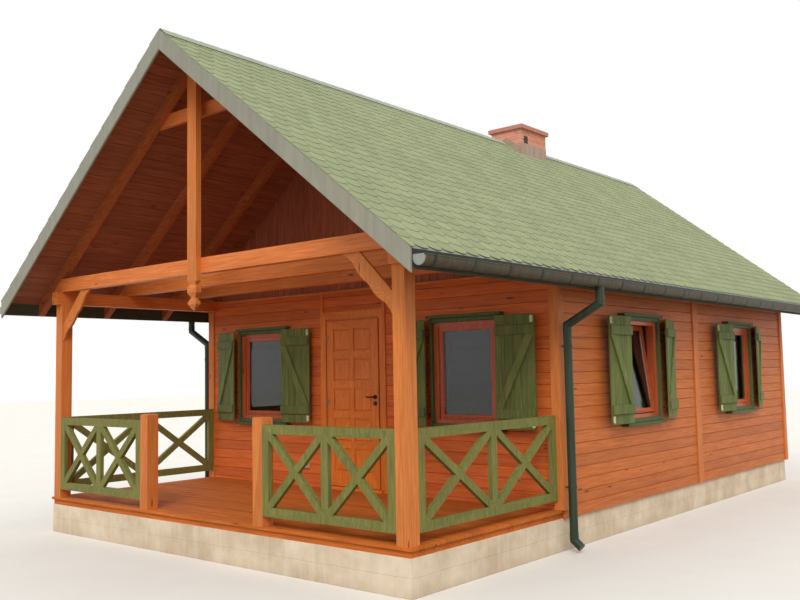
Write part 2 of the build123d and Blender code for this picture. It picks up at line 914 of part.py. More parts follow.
def pintle(z, hinged):
    # bracket on the outer edge of the casing that carries one strap, on a pin where the leaf is hinged
    x = shutter_pivot
    y = -shutter_axis_out
    z0 = z - hinge_height / 2 - pintle_height
    z1 = z0 + pintle_height
    arm = block(x, x + pintle_arm, y, -casing_side_depth + pintle_grip, z0, z1)
    if not hinged:
        return arm
    half = pintle_end / 2
    end = block(x - half, x + half, y - half, y + half, z0, z1)
    return arm + end + hinge_pin(x, y, z)


def strap(z, hinged):
    # eye round the pin, and the strap on the leaf's boards; a fixed leaf's barrel stands on its bracket
    x = shutter_pivot
    y = -shutter_axis_out
    y1 = y - hinge_radius - seat_gap
    plate = block(x, x + strap_length, y1, y1 + strap_thickness, z - strap_height / 2, z + strap_height / 2)
    if hinged:
        return hinge_eye(x, y, z + seat_gap, plate)
    return hinge_barrel(x, y, z + seat_gap) + plate


def shutter(hand, brace_falls_outward, turn=0, hinged=True):
    # hand -1 is the leaf on the viewer's left; the leaf lies open, its ledged face outward,
    # turned past half a turn so that its free edge comes nearer to the wall
    x0 = shutter_pivot + shutter_gap / 2
    x1 = x0 + shutter_width
    y_back = -shutter_axis_out - hinge_radius - seat_gap
    y_mid = y_back - shutter_board
    y_front = y_back - shutter_thickness
    leaf = block(x0, x1, y_mid, y_back, shutter_low, shutter_high)
    upper = shutter_high - shutter_ledge_inset
    lower = shutter_low + shutter_ledge_inset
    leaf += block(x0, x1, y_front, y_mid, upper - shutter_ledge_height, upper)
    leaf += block(x0, x1, y_front, y_mid, lower, lower + shutter_ledge_height)
    za = upper - shutter_ledge_height
    zb = lower + shutter_ledge_height
    w = shutter_brace_width
    if brace_falls_outward:
        points = [(x0, za), (x0 + w, za), (x1, zb), (x1 - w, zb)]
    else:
        points = [(x1 - w, za), (x1, za), (x0 + w, zb), (x0, zb)]
    leaf += along_y(points, y_front, y_mid)
    for z in strap_heights:
        leaf += strap(z, hinged)
    pivot = Pos(shutter_pivot, -shutter_axis_out, 0)
    leaf = pivot * Rot(0, 0, turn) * pivot.inverse() * leaf
    return leaf if hand > 0 else mirrored(leaf)


def on_front(shape, middle):
    return Pos(middle, house_front, 0) * shape


def on_right(shape, distance):
    return Pos(half_width, front + distance, 0) * Rot(0, 0, 90) * shape


def on_left(shape, distance):
    return Pos(-half_width, front + distance, 0) * Rot(0, 0, -90) * shape


def on_back(shape, middle):
    return Pos(middle, back, 0) * Rot(0, 0, 180) * shape


def at_hinged_windows(shape, first_on_right=None):
    # the front and right windows, whose leaves turn
    fore, aft = side_window_centres
    return [on_front(shape, -front_window_centre), on_front(shape, front_window_centre),
            on_right(first_on_right or shape, fore), on_right(shape, aft)]


def at_fixed_windows(shape):
    # the back and left windows, whose leaves are fixed open
    fore, aft = side_window_centres
    return [on_back(shape, -front_window_centre), on_back(shape, front_window_centre),
            on_left(shape, fore), on_left(shape, aft)]


save("foundation_cross_walls", *foundation_cross_walls())
save("foundation_side_walls", *foundation_side_walls())
save("porch_rim", porch_rim())
save("porch_deck", porch_deck())
save("house_floor", house_floor())
save("front_wall_left", front_wall_side(-1))
save("front_wall_right", front_wall_side(1))
save("front_wall_over_door", front_wall_over_door())
save("front_wall_under_door", front_wall_under_door())
save("right_wall", side_wall())
save("left_wall", mirrored(side_wall()))
save("back_wall", back_wall())
save("front_siding", front_siding())
save("back_siding", back_siding())
save("side_siding", *both(side_siding()))
save("gable_walls", gable(house_front, house_front + wall_thickness), gable(back - wall_thickness, back),
     gable_ledge(house_front, -1), gable_ledge(back, 1))
save("corner_trims", *both(corner_trim(-1, house_front, deck_top + seat_gap)),
     *both(corner_trim(1, back, floor_base)), *both(batten()))
save("porch_posts", *porch_posts())
save("wall_plates", *both(wall_plate()))
save("tie_beams", *[tie_beam(y) for y in frame_positions()])
save("rafters", *[half for y in frame_positions() for half in both(rafter(y))])
save("king_post", king_post())
save("collar_tie", collar_tie())
save("knee_braces", *both(knee_brace()))
save("railing_front_left", front_railing(-1))
save("railing_front_right", front_railing(1))
save("railing_left", side_railing(-1))
save("railing_right", side_railing(1))
save("roof_left", mirrored(roof_slope()))
save("roof_right", roof_slope())
save("bargeboards", *both(bargeboard(roof_front, roof_front + bargeboard_thickness)),
     *both(bargeboard(roof_back - bargeboard_thickness, roof_back)))
save("fascias", *both(fascia()))
save("ridge_cap", *ridge_caps())
save("chimney_stack", chimney_stack())
save("chimney_cap", chimney_cap())
save("chimney_flashing", flashing())
save("gutters", *both(gutter()))
save("downpipes", *both(downpipe()))
save("door_frame", door_frame())
save("door_leaf", door_leaf())
save("door_handle", *door_handle())
save("door_hinge_seats", *door_hinge_seats())
save("door_hinge_leaves", *door_hinge_leaves())
save("window_frames", *at_hinged_windows(window_frame()), *at_fixed_windows(window_frame()))
save("window_sashes", *at_hinged_windows(window_sash(), tilted(window_sash())),
     *at_fixed_windows(window_sash()))
save("window_glass", *at_hinged_windows(window_glass(), tilted(window_glass())),
     *at_fixed_windows(window_glass()))
save("window_casings", *at_hinged_windows(window_casing(True)), *at_fixed_windows(window_casing(False)))
save("fixed_shutters", *at_fixed_windows(shutter(-1, True, hinged=False)),
     *at_fixed_windows(shutter(1, True, hinged=False)))
left = -front_window_centre
right = front_window_centre
fore, aft = side_window_centres
save("shutter_front_left_outer", on_front(shutter(-1, True, turn_front_left_outer), left))
save("shutter_front_left_inner", on_front(shutter(1, True, turn_front_left_inner), left))
save("shutter_front_right_inner", on_front(shutter(-1, True, turn_front_right_inner), right))
save("shutter_front_right_outer", on_front(shutter(1, False, turn_front_right_outer), right))
save("shutter_right_fore_near", on_right(shutter(-1, False, turn_right_fore_near), fore))
save("shutter_right_fore_far", on_right(shutter(1, False, turn_right_fore_far), fore))
save("shutter_right_aft_near", on_right(shutter(-1, False, turn_right_aft_near), aft))
save("shutter_right_aft_far", on_right(shutter(1, False, turn_right_aft_far), aft))
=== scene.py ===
from math import asin, atan2, cos, hypot, pi, radians, sin, tan

import bmesh
import bpy
from mathutils import Matrix, Vector, noise


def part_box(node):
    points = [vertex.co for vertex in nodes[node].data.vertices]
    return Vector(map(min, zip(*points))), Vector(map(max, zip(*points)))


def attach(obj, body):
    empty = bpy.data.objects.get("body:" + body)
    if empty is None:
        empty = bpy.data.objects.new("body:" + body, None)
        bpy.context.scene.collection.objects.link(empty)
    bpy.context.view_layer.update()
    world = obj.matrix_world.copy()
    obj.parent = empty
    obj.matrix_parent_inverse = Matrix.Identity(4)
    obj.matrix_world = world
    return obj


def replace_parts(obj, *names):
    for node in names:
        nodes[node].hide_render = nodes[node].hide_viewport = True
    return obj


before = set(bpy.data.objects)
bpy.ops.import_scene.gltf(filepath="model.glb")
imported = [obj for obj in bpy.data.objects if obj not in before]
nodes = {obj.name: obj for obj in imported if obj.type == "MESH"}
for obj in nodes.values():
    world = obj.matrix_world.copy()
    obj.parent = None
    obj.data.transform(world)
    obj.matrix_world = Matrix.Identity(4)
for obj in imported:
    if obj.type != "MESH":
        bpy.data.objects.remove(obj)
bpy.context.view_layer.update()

# Driving sizes in metres. X runs across the front, +Y back along the ridge, Z up.

# Camera: where the photograph was taken from, for a picture of 800 x 600
camera_place = (7.4198, -10.4098, 1.8015)
camera_turn = 40.147
camera_tilt = 4.601
camera_roll = -1.065
camera_focal = 40.45
camera_sensor = 36.0
camera_sight = 200.0

# Light and floor: an even sky, one wide soft sun given by its turn and height in degrees, and a plain floor
sky_strength = 0.9
sun_strength = 1.5
sun_spread = 25.0
sun_turn = 36.0
sun_height = 38.0
floor_reach = 60.0
floor_thickness = 0.02

# Gaps that keep faces apart, and the chamfer of planed edges
bed_gap = 0.0005
sheet_gap = 0.0002
mitre_gap = 0.0004
shell_gap = 0.0003
edge_chamfer = 0.003
chamfer_angle = 30

# How many sides round things have
trough_round = 16
rod_round = 12
knuckle_round = 16
pipe_round = 32

# Roof covering: rounded tabs laid in half bond on a bottom mat, over planed boards
slab_thickness = 0.030
mat_thickness = 0.008
tab_width = 0.1667
tab_exposure = 0.1385
tab_gap = 0.006
tab_thickness = 0.004
tab_lift = 0.006
tab_overlap = 0.045
tab_round = 8
tab_round_share = 0.75
tab_eave_reach = 0.012
tab_wobble = 0.004
tab_wobble_steps = (1.7, 2.3)
tab_least_width = 0.02
tab_least_side = 1e-5
tab_least_end = 0.03
roof_board_width = 0.116
roof_board_gap = 0.0015
roof_board_chamfer = 0.004
ridge_tab_length = 0.25
ridge_tab_exposure = 0.165
ridge_tab_thickness = 0.004
ridge_tab_rise = 0.004
ridge_lift = 0.011
ridge_wing = 0.13
barge_thickness = 0.025
barge_depth = 0.157
verge_clear = 0.003
verge_drop = 0.150
verge_lap = 0.016
verge_over = 0.0022
verge_sheet = 0.0007
verge_seams = (0.223, 1.725)
verge_seam_lap = 0.040
drip_sheet = 0.001
drip_drop = 0.012
# Height of the dark sheet painted as shade under the drip edges
eave_drop = 0.050
fascia_foot = 2.576
slab_clear = 0.001

# Walls
course_height = 0.121
siding_start = 0.32
gable_board_width = 0.116
gable_board_thickness = 0.018
gable_board_gap = 0.0015
gable_board_chamfer = 0.005
gable_foot = 2.821
gable_plate_gap = 0.001
plate_width = 0.120
cladding = 0.0283

# Weatherproof socket on the front wall: a base, and a lid set in from its edges
socket_middle = (-0.851, 0.669)
socket_size = 0.085
socket_base = 0.030
socket_depth = 0.052
socket_inset = 0.006
socket_lid_top = 0.004
socket_lid_gap = 0.001
socket_chamfer = 0.005

# Collar tie, knee braces and door handle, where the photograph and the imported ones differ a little
collar_low = 4.490
collar_high = 4.630
collar_clear = 0.002
brace_depth = 0.028
handle_lift = 0.040

# Porch deck
deck_board_width = 0.118
deck_board_gap = 0.004
deck_chamfer = 0.003

# Chimney bricks
brick_length = 0.250
brick_width = 0.120
brick_height = 0.065
mortar = 0.012
brick_proud = 0.003
brick_foot = 4.95
brick_least = 0.045
brick_sliver = 0.02
vent_near = 1.050
vent_far = 1.160
vent_low = 5.225
vent_high = 5.345
# Thickness of the dark plate painted as the shade in the vent's mouth
vent_plate_thickness = 0.001
cap_overhang = 0.038
cap_chamfer = 0.006

# Rainwater goods
gutter_wall = 0.002
gutter_bead = 0.007
gutter_clear = 0.004
gutter_drop = 0.020
gutter_side = 0.026
bracket_spacing = 0.51
bracket_margin = 0.12
bracket_width = 0.030
bracket_thickness = 0.003
bracket_upstand = 0.036
seam_spacing = 2.6
seam_margin = 1.3
seam_width = 0.045
seam_proud = 0.0022
end_cap_proud = 0.001
end_cap_thickness = 0.003
outlet_height = 0.030
pipe_socket_length = 0.065
pipe_socket_proud = 0.0025
pipe_x = 2.883
pipe_bend_high = 2.455
pipe_bend_low = 2.230
pipe_shoe_high = 0.130
pipe_clips = (2.02, 0.62)
clip_height = 0.028
clip_proud = 0.004
clip_arm_half = 0.006
clip_arm_low = 0.008
clip_arm_high = 0.020

# Windows: their middles across the front and back walls, and back from the porch's front edge
window_x = 1.646
window_fore = 4.16752
window_aft = 7.301028
window_places = {
    "front_left": ("front", -window_x), "front_right": ("front", window_x),
    "right_fore": ("right", window_fore), "right_aft": ("right", window_aft),
    "left_fore": ("left", window_fore), "left_aft": ("left", window_aft),
    "back_left": ("back", -window_x), "back_right": ("back", window_x),
}

# Casings, shutters and sashes in each window's own frame: x across, y outward below nought, z up
casing_half = 0.5
casing_low = 1.152
casing_high = 2.422
casing_side_board = 0.030
casing_head_board = 0.078
casing_lip = 0.032
casing_side_depth = 0.086
casing_head_depth = 0.116
casing_back = 0.0286
casing_head_inset = 0.004
pivot_x = 0.466
pivot_out = 0.1433
leaf_start = 0.003
leaf_width = 0.460
leaf_low = 1.196
leaf_high = 2.378
leaf_back = 0.1516
leaf_board = 0.022
leaf_thickness = 0.044
leaf_boards = 4
leaf_ledge_inset = 0.110
leaf_ledge = 0.100
leaf_brace = 0.090
leaf_joint = 0.0006
ledge_inset = 0.002
pintle_arm = 0.008
pintle_height = 0.012
pintle_root = 0.066
strap_height = 0.030
strap_length = 0.300
strap_thickness = 0.0035
knuckle_radius = 0.008
knuckle_height = 0.040
bolt_length = 0.064
bolt_width = 0.034
bolt_from_edge = 0.028
bolt_from_end = 0.055
bolt_plate = 0.003
bolt_rod_out = 0.008
bolt_rod_reach = 0.008
bolt_rod_radius = 0.005
bolt_staple_out = 0.015
bolt_staple_half = (0.009, 0.006)
bolt_staple_place = 0.022
bolt_chamfer = 0.001
sash_half = 0.3704
sash_low = 1.2756
sash_high = 2.2984
sash_bar = 0.045
sash_out = 0.030
sash_depth = 0.055
sash_tilt = 7
bead_width = 0.010
bead_near = 0.006
bead_far = 0.0165
bead_chamfer = 0.002
weather_bar_lift = 0.006
weather_bar_out = 0.016
weather_bar_lip = 0.006
weather_bar_height = 0.026

# How far each leaf stands turned past half a turn, and whether its brace falls towards the free edge
leaf_turns = {
    "front_left_outer": ("front_left", -1, 13, True),
    "front_left_inner": ("front_left", 1, 7, True),
    "front_right_inner": ("front_right", -1, 7, True),
    "front_right_outer": ("front_right", 1, 4, False),
    "right_fore_near": ("right_fore", -1, 3.5, False),
    "right_fore_far": ("right_fore", 1, 13, False),
    "right_aft_near": ("right_aft", -1, 6, False),
    "right_aft_far": ("right_aft", 1, 14, False),
}
# Leaves that carry a pale bolt on the edge away from the window
leaves_with_bolts = ("front_left_inner", "front_right_outer", "right_fore_near", "right_aft_near")


def srgb(colour):
    """A colour written as 0 to 255 per channel, as the linear colour that a shader takes."""
    channels = []
    for value in colour:
        value = value / 255
        channels.append(value / 12.92 if value <= 0.04045 else ((value + 0.055) / 1.055) ** 2.4)
    return (*channels, 1.0)


def fed(tree, node, values, output=0):
    """Gives a node's inputs their links or constants, and hands back one of its outputs."""
    for name, value in values.items():
        if isinstance(value, bpy.types.NodeSocket):
            tree.links.new(value, node.inputs[name])
        else:
            node.inputs[name].default_value = value
    return node.outputs[output]


class Shade:
    """A procedural material, built up node by node in the object's own metres."""

    def __init__(self, name, roughness=0.6, metallic=0.0):
        self.material = bpy.data.materials.new(name)
        self.material.use_nodes = True
        self.tree = self.material.node_tree
        self.surface = self.tree.nodes["Principled BSDF"]
        self.set_surface({"Roughness": roughness, "Metallic": metallic, "Specular IOR Level": 0.25})
        self.place = self.new("TexCoord").outputs["Object"]

    def set_surface(self, values):
        fed(self.tree, self.surface, values)

    def new(self, kind):
        return self.tree.nodes.new("ShaderNode" + kind)

    def made(self, kind, values, output=0):
        """One output of a new node."""
        return fed(self.tree, self.new(kind), values, output)

    def math(self, operation, first, second=0.0):
        node = self.new("Math")
        node.operation = operation
        return fed(self.tree, node, {0: first, 1: second})

    def axis(self, letter):
        return self.made("SeparateXYZ", {0: self.place}, letter)

    def stretched(self, scale, shift=0.0):
        """The place, scaled along each axis and moved by a number that may vary."""
        node = self.new("VectorMath")
        node.operation = "MULTIPLY_ADD"
        spread = self.made("CombineXYZ", {0: shift, 1: shift, 2: shift})
        return fed(self.tree, node, {0: self.place, 1: scale, 2: spread})

    def drawn(self, grain, along, across, shift):
        """The place, drawn out along the grain."""
        scale = [across, across, across]
        scale["XYZ".index(grain)] = along
        return self.stretched(scale, shift)

    def noise(self, vector, scale, detail=4.0, roughness=0.55, distortion=0.0):
        return self.made("TexNoise", {"Vector": vector, "Scale": scale, "Detail": detail,
                                      "Roughness": roughness, "Distortion": distortion}, "Fac")

    def cells(self, vector, scale):
        return self.made("TexVoronoi", {"Vector": vector, "Scale": scale}, "Distance")

    def random(self, value):
        node = self.new("TexWhiteNoise")
        node.noise_dimensions = "1D"
        return fed(self.tree, node, {"W": value}, "Value")

    def per_piece(self):
        """A random number for each separate island of the mesh."""
        return self.new("NewGeometry").outputs["Random Per Island"]

    def between(self, value, low, high, to_low=0.0, to_high=1.0):
        return self.made("MapRange", {"Value": value, "From Min": low, "From Max": high,
                                      "To Min": to_low, "To Max": to_high}, "Result")

    def mix(self, factor, first, second, blend="MIX"):
        """A blend of two colours, each a socket or written as 0 to 255 per channel."""
        node = self.new("Mix")
        node.data_type = "RGBA"
        node.blend_type = blend
        first, second = [srgb(colour) if isinstance(colour, tuple) else colour for colour in (first, second)]
        return fed(self.tree, node, {"Factor": factor, 6: first, 7: second}, 2)

    def grey(self, value):
        return self.made("CombineColor", {0: value, 1: value, 2: value})

    def toned(self, colour, value, low, high):
        """The colour made darker or lighter by a number from 0 to 1."""
        return self.mix(1.0, colour, self.grey(self.between(value, 0.0, 1.0, low, high)), "MULTIPLY")

    def relief(self, height, distance, strength):
        self.set_surface({"Normal": self.made("Bump", {"Distance": distance, "Strength": strength,
                                                       "Height": height})})

    def colour(self, value):
        self.set_surface({"Base Color": value})


# How far apart two pieces are cut from the same figured wood
FIGURE_SHIFT = 37.0


def timber(name, grain, light, dark, board=None, width=1.0, start=0.0, roughness=0.5, figure=0.35, knots=0.10,
           coat=0.0):
    """Planed wood under a stain. Boards are told apart along one axis, or else each piece differs."""
    shade = Shade(name, roughness)
    if board:
        along = shade.math("SUBTRACT", shade.axis(board), start)
        chance = shade.random(shade.math("FLOOR", shade.math("DIVIDE", along, width)))
    else:
        chance = shade.per_piece()
    shift = shade.math("MULTIPLY", chance, FIGURE_SHIFT)
    streak = shade.noise(shade.drawn(grain, 0.8, 16.0, shift), 3.2, 5.0, 0.6, 0.35)
    rings = shade.noise(shade.drawn(grain, 0.35, 4.5, shift), 2.0, 2.0, 0.45, 0.6)
    rings = shade.math("PINGPONG", shade.math("MULTIPLY", rings, 11.0), 0.5)
    broad = shade.noise(shade.drawn(grain, 0.5, 1.6, shift), 1.0, 3.0)
    colour = shade.mix(shade.between(streak, 0.33, 0.68), dark, light)
    colour = shade.mix(shade.between(rings, 0.5, 0.1, 0.0, figure), colour, dark)
    colour = shade.toned(colour, broad, 0.85, 1.13)
    colour = shade.toned(colour, chance, 0.88, 1.08)
    spots = shade.cells(shade.drawn(grain, 1.7, 6.5, shift), 1.0)
    colour = shade.mix(shade.between(spots, knots * 0.55, knots, 0.85, 0.0), colour, KNOT)
    shade.colour(colour)
    shade.set_surface({"Coat Weight": coat, "Coat Roughness": 0.25})
    shade.relief(streak, 0.0012, 0.5)
    return shade.material


def painted_timber(name, grain, light, dark, spread=0.06, streaks=None):
    """A green or grey stain that leaves the grain to be felt, worn a little paler on broad places."""
    shade = Shade(name)
    chance = shade.per_piece()
    shift = shade.math("MULTIPLY", chance, FIGURE_SHIFT)
    streak = shade.noise(shade.drawn(grain, 1.0, 18.0, shift), 3.0, 5.0, 0.6, 0.3)
    broad = shade.noise(shade.place, 2.3, 4.0)
    colour = shade.mix(shade.between(streak, 0.34, 0.66), dark, light)
    colour = shade.toned(colour, broad, 0.82, 1.14)
    if streaks:
        long = shade.noise(shade.drawn(grain, 0.7, 7.0, shift), 1.7, 4.0, 0.6)
        colour = shade.mix(shade.between(long, 0.50, 0.70, 0.0, 0.75), colour, streaks)
    shade.colour(shade.toned(colour, chance, 1 - spread, 1 + spread))
    shade.relief(streak, 0.001, 0.45)
    return shade.material


def concrete():
    """Cast foundation with the lines of its formwork, pale streaks, blotches, and a colour that grows darker
    towards its foot.
    """
    shade = Shade("concrete", 0.9)
    run = shade.math("ADD", shade.axis("X"), shade.axis("Y"))
    height = shade.axis("Z")
    blotch = shade.noise(shade.place, 2.6, 6.0, 0.62)
    streak = shade.noise(shade.stretched((9.0, 9.0, 0.9)), 1.6, 5.0, 0.6)
    grit = shade.noise(shade.place, 90.0, 3.0, 0.6)
    wavy = shade.math("ADD", height, shade.between(streak, 0.0, 1.0, -0.006, 0.006))
    board = shade.math("PINGPONG", wavy, 0.08)
    joint = shade.math("PINGPONG", run, 0.62)
    colour = shade.mix(shade.between(blotch, 0.35, 0.68), (212, 190, 161), (242, 224, 198))
    colour = shade.mix(shade.between(streak, 0.50, 0.72, 0.0, 0.4), colour, (244, 232, 214))
    colour = shade.mix(shade.between(board, 0.0035, 0.0, 0.0, 0.14), colour, (150, 132, 108))
    colour = shade.mix(shade.between(joint, 0.004, 0.0, 0.0, 0.2), colour, (150, 132, 108))
    # Darker over the lowest 9 cm, towards the foot
    colour = shade.mix(shade.between(height, 0.09, 0.0, 0.0, 0.22), colour, (176, 150, 118))
    shade.colour(shade.toned(colour, grit, 0.93, 1.06))
    rough = shade.math("ADD", shade.between(board, 0.0, 0.004), shade.math("MULTIPLY", grit, 0.5))
    shade.relief(rough, 0.003, 0.6)
    return shade.material


def shingle(name, light, dark):
    """Bitumen shingle with mineral grit, each tab a little different."""
    shade = Shade(name, 0.95)
    chance = shade.per_piece()
    grit = shade.noise(shade.place, 160.0, 2.0, 0.7)
    broad = shade.noise(shade.place, 0.9, 4.0, 0.6)
    colour = shade.mix(shade.between(grit, 0.35, 0.65), dark, light)
    colour = shade.toned(colour, chance, 0.91, 1.08)
    shade.colour(shade.toned(colour, broad, 0.90, 1.10))
    shade.relief(grit, 0.0015, 0.6)
    return shade.material


def brick():
    shade = Shade("salmon_brick", 0.9)
    chance = shade.per_piece()
    spots = shade.noise(shade.place, 22.0, 5.0, 0.65)
    smear = shade.noise(shade.place, 6.0, 4.0, 0.6)
    colour = shade.mix(chance, (206, 128, 104), (228, 152, 124))
    colour = shade.toned(colour, spots, 0.84, 1.12)
    colour = shade.mix(shade.between(smear, 0.55, 0.75, 0.0, 0.6), colour, (206, 178, 160))
    shade.colour(colour)
    shade.relief(spots, 0.002, 0.5)
    return shade.material


def plain_stone(name, light, dark, scale=18.0):
    shade = Shade(name, 0.92)
    spots = shade.noise(shade.place, scale, 5.0, 0.62)
    shade.colour(shade.mix(shade.between(spots, 0.3, 0.7), dark, light))
    shade.relief(spots, 0.002, 0.5)
    return shade.material


def sheet_metal(name, light, dark, roughness=0.5, metallic=0.0, spread=0.0):
    """Painted or plated sheet with faint runs of dust and water down it."""
    shade = Shade(name, roughness, metallic)
    runs = shade.noise(shade.stretched((14.0, 14.0, 1.3)), 1.4, 5.0, 0.6)
    dust = shade.noise(shade.place, 5.0, 4.0)
    colour = shade.mix(shade.between(runs, 0.35, 0.7), dark, light)
    if spread:
        colour = shade.toned(colour, shade.per_piece(), 1 - spread, 1 + spread)
    shade.colour(shade.toned(colour, dust, 0.88, 1.1))
    shade.relief(dust, 0.001, 0.2)
    return shade.material


def window_glass():
    shade = Shade("clear_glass", 0.02)
    shade.set_surface({"Transmission Weight": 1.0, "IOR": 1.5, "Specular IOR Level": 1.0})
    ripple = shade.noise(shade.place, 1.2, 2.0)
    shade.colour(shade.mix(shade.between(ripple, 0.3, 0.7), (176, 184, 180), (192, 200, 196)))
    return shade.material


# Colours of knots, of timbers and of the walls behind the siding
KNOT = (116, 52, 26)
ORANGE = ((238, 142, 74), (204, 108, 50))
ORANGE_UPRIGHT = ((231, 141, 71), (203, 113, 51))
CORE = ((132, 84, 52), (104, 64, 38))

# Each name with its light and dark colour, 0 to 255 per channel
materials = {
    "concrete": concrete(),
    "deck": timber("deck_timber", "X", (220, 122, 46), (180, 92, 31), "Y", deck_board_width, roughness=0.7,
                   figure=0.25),
    "core_x": timber("wall_core_x", "X", *CORE, "Z", course_height),
    "core_y": timber("wall_core_y", "Y", *CORE, "Z", course_height),
    "siding_x": timber("siding_x", "X", (236, 126, 58), (206, 98, 43), "Z", course_height, siding_start,
                       figure=0.16),
    "siding_y": timber("siding_y", "Y", (218, 124, 57), (186, 96, 40), "Z", course_height, siding_start,
                       figure=0.16),
    "timber_x": timber("timber_x", "X", *ORANGE),
    "timber_y": timber("timber_y", "Y", *ORANGE),
    "timber_z": timber("timber_z", "Z", *ORANGE_UPRIGHT),
    "rafter": timber("rafter_timber", "X", (204, 118, 70), (166, 88, 50)),
    # The ceiling and gable boards are darker and greyer than the siding: painted shade of the roof over them
    "ceiling": timber("ceiling_boards", "Y", (180, 112, 82), (146, 82, 58)),
    "gable": timber("gable_boards", "Z", (188, 112, 82), (154, 84, 60)),
    "door": timber("door_timber", "Z", (246, 141, 50), (214, 111, 34), roughness=0.45, knots=0.05, coat=0.15),
    "window": timber("window_timber", "Z", (212, 104, 58), (168, 74, 40), roughness=0.35, coat=0.25),
    "rail": painted_timber("light_green_stain", "Z", (137, 134, 72), (106, 107, 53)),
    "shutter": painted_timber("dark_green_stain", "Z", (112, 122, 64), (80, 92, 46), 0.14, (124, 122, 62)),
    "casing": painted_timber("dark_green_casing", "Z", (92, 106, 64), (70, 84, 50)),
    "dark_timber": painted_timber("dark_green_grey_timber", "Y", (80, 82, 66), (62, 64, 52)),
    "shingle": shingle("green_shingle", (161, 168, 131), (133, 140, 103)),
    "ridge": shingle("ridge_shingle", (178, 184, 168), (152, 158, 144)),
    "brick": brick(),
    "mortar": plain_stone("mortar", (214, 176, 156), (190, 148, 128)),
    "capping": plain_stone("chimney_capping", (206, 140, 122), (182, 120, 104), 30.0),
    "pale_plastic": plain_stone("pale_plastic", (206, 196, 176), (196, 186, 166), 60.0),
    "grey_board": sheet_metal("grey_green_sheet", (155, 154, 139), (145, 143, 128), spread=0.035),
    "taupe": sheet_metal("taupe_sheet", (178, 156, 138), (160, 138, 120), 0.55),
    "gutter": sheet_metal("dark_sheet", (86, 79, 56), (62, 56, 40)),
    "pipe": sheet_metal("dark_green_sheet", (58, 72, 54), (42, 55, 40), 0.35),
    "pale_sheet": sheet_metal("pale_grey_sheet", (166, 172, 163), (146, 152, 144)),
    "trim": sheet_metal("pale_trim_sheet", (176, 178, 168), (152, 156, 146), 0.4, 0.1),
    "bracket": sheet_metal("bracket_metal", (44, 54, 46), (30, 38, 32), 0.4),
    "hinge": sheet_metal("door_hinge_metal", (196, 142, 96), (166, 112, 72), 0.4, 0.1),
    "dark_metal": sheet_metal("dark_metal", (52, 46, 42), (34, 30, 28), 0.4),
    "cream_metal": sheet_metal("cream_metal", (238, 228, 190), (216, 206, 168)),
    "glass": window_glass(),
}

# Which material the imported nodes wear, by how a node's name begins
wears = {
    "concrete": ("foundation",),
    "deck": ("porch_deck", "house_floor", "porch_rim"),
    "core_x": ("front_wall", "back_wall"),
    "core_y": ("left_wall", "right_wall"),
    "siding_x": ("front_siding", "back_siding"),
    "siding_y": ("side_siding",),
    "timber_x": ("tie_beams", "collar_tie", "gable_walls"),
    "rafter": ("rafters",),
    "timber_y": ("wall_plates",),
    "timber_z": ("porch_posts", "king_post", "knee_braces", "corner_trims"),
    "ceiling": ("roof",),
    "rail": ("railing",),
    "shutter": ("window_casings", "fixed_shutters", "shutter"),
    "grey_board": ("bargeboards",),
    "dark_timber": ("fascias",),
    "shingle": ("ridge_cap",),
    "mortar": ("chimney_stack",),
    "capping": ("chimney_cap",),
    "taupe": ("chimney_flashing",),
    "gutter": ("gutters",),
    "pipe": ("downpipes",),
    "door": ("door_leaf", "door_frame"),
    "dark_metal": ("door_handle",),
    "hinge": ("door_hinge",),
    "window": ("window_frames", "window_sashes"),
    "glass": ("window_glass",),
}
for material, starts in wears.items():
    for name, node in nodes.items():
        if name.startswith(starts):
            node.data.materials.clear()
            node.data.materials.append(materials[material])


# Mesh building

def add_loft(mesh, *outlines):
    """A closed solid through outlines that have the same number of points."""
    rows = [[mesh.verts.new(point) for point in outline] for outline in outlines]
    count = len(rows[0])
    mesh.faces.new(rows[0])
    mesh.faces.new(list(reversed(rows[-1])))
    for near, far in zip(rows, rows[1:]):
        for number in range(count):
            following = (number + 1) % count
            mesh.faces.new([near[following], near[number], far[number], far[following]])


def add_prism(mesh, outline, thickness):
    """A closed prism: the outline, and the outline moved by thickness."""
    shift = Vector(thickness)
    add_loft(mesh, outline, [Vector(point) + shift for point in outline])


def ring_points(centre, across, up, radius, sides):
    centre, across, up = Vector(centre), Vector(across), Vector(up)
    turns = [2 * pi * number / sides for number in range(sides)]
    return [centre + radius * (cos(turn) * across + sin(turn) * up) for turn in turns]


def add_rod(mesh, start, end, radius, sides):
    """A round bar between two points."""
    start, end = Vector(start), Vector(end)
    run = (end - start).normalized()
    across = run.orthogonal().normalized()
    up = run.cross(across)
    add_loft(mesh, ring_points(start, across, up, radius, sides), ring_points(end, across, up, radius, sides))


def add_box(mesh, corner, opposite):
    """A box between two opposite corners."""
    x0, y0, z0 = map(min, corner, opposite)
    x1, y1, z1 = map(max, corner, opposite)
    add_prism(mesh, [(x0, y0, z0), (x1, y0, z0), (x1, y1, z0), (x0, y1, z0)], (0, 0, z1 - z0))


def linked(name, data):
    """A new object of the scene, which holds the data."""
    obj = bpy.data.objects.new(name, data)
    bpy.context.scene.collection.objects.link(obj)
    return obj


def solid(name, mesh, material):
    """The object that a bmesh turns into."""
    data = bpy.data.meshes.new(name)
    mesh.to_mesh(data)
    mesh.free()
    data.materials.append(material)
    return linked(name, data)


def piece(name, mesh, material, body="house", chamfer=0.0, segments=1):
    """Makes the finished piece from a bmesh and lets it ride on its body."""
    bmesh.ops.recalc_face_normals(mesh, faces=mesh.faces)
    obj = solid(name, mesh, materials[material])
    if chamfer:
        edge = obj.modifiers.new("edge", "BEVEL")
        edge.width = chamfer
        edge.segments = segments
        edge.limit_method = "ANGLE"
        edge.angle_limit = radians(chamfer_angle)
    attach(obj, body)
    return obj


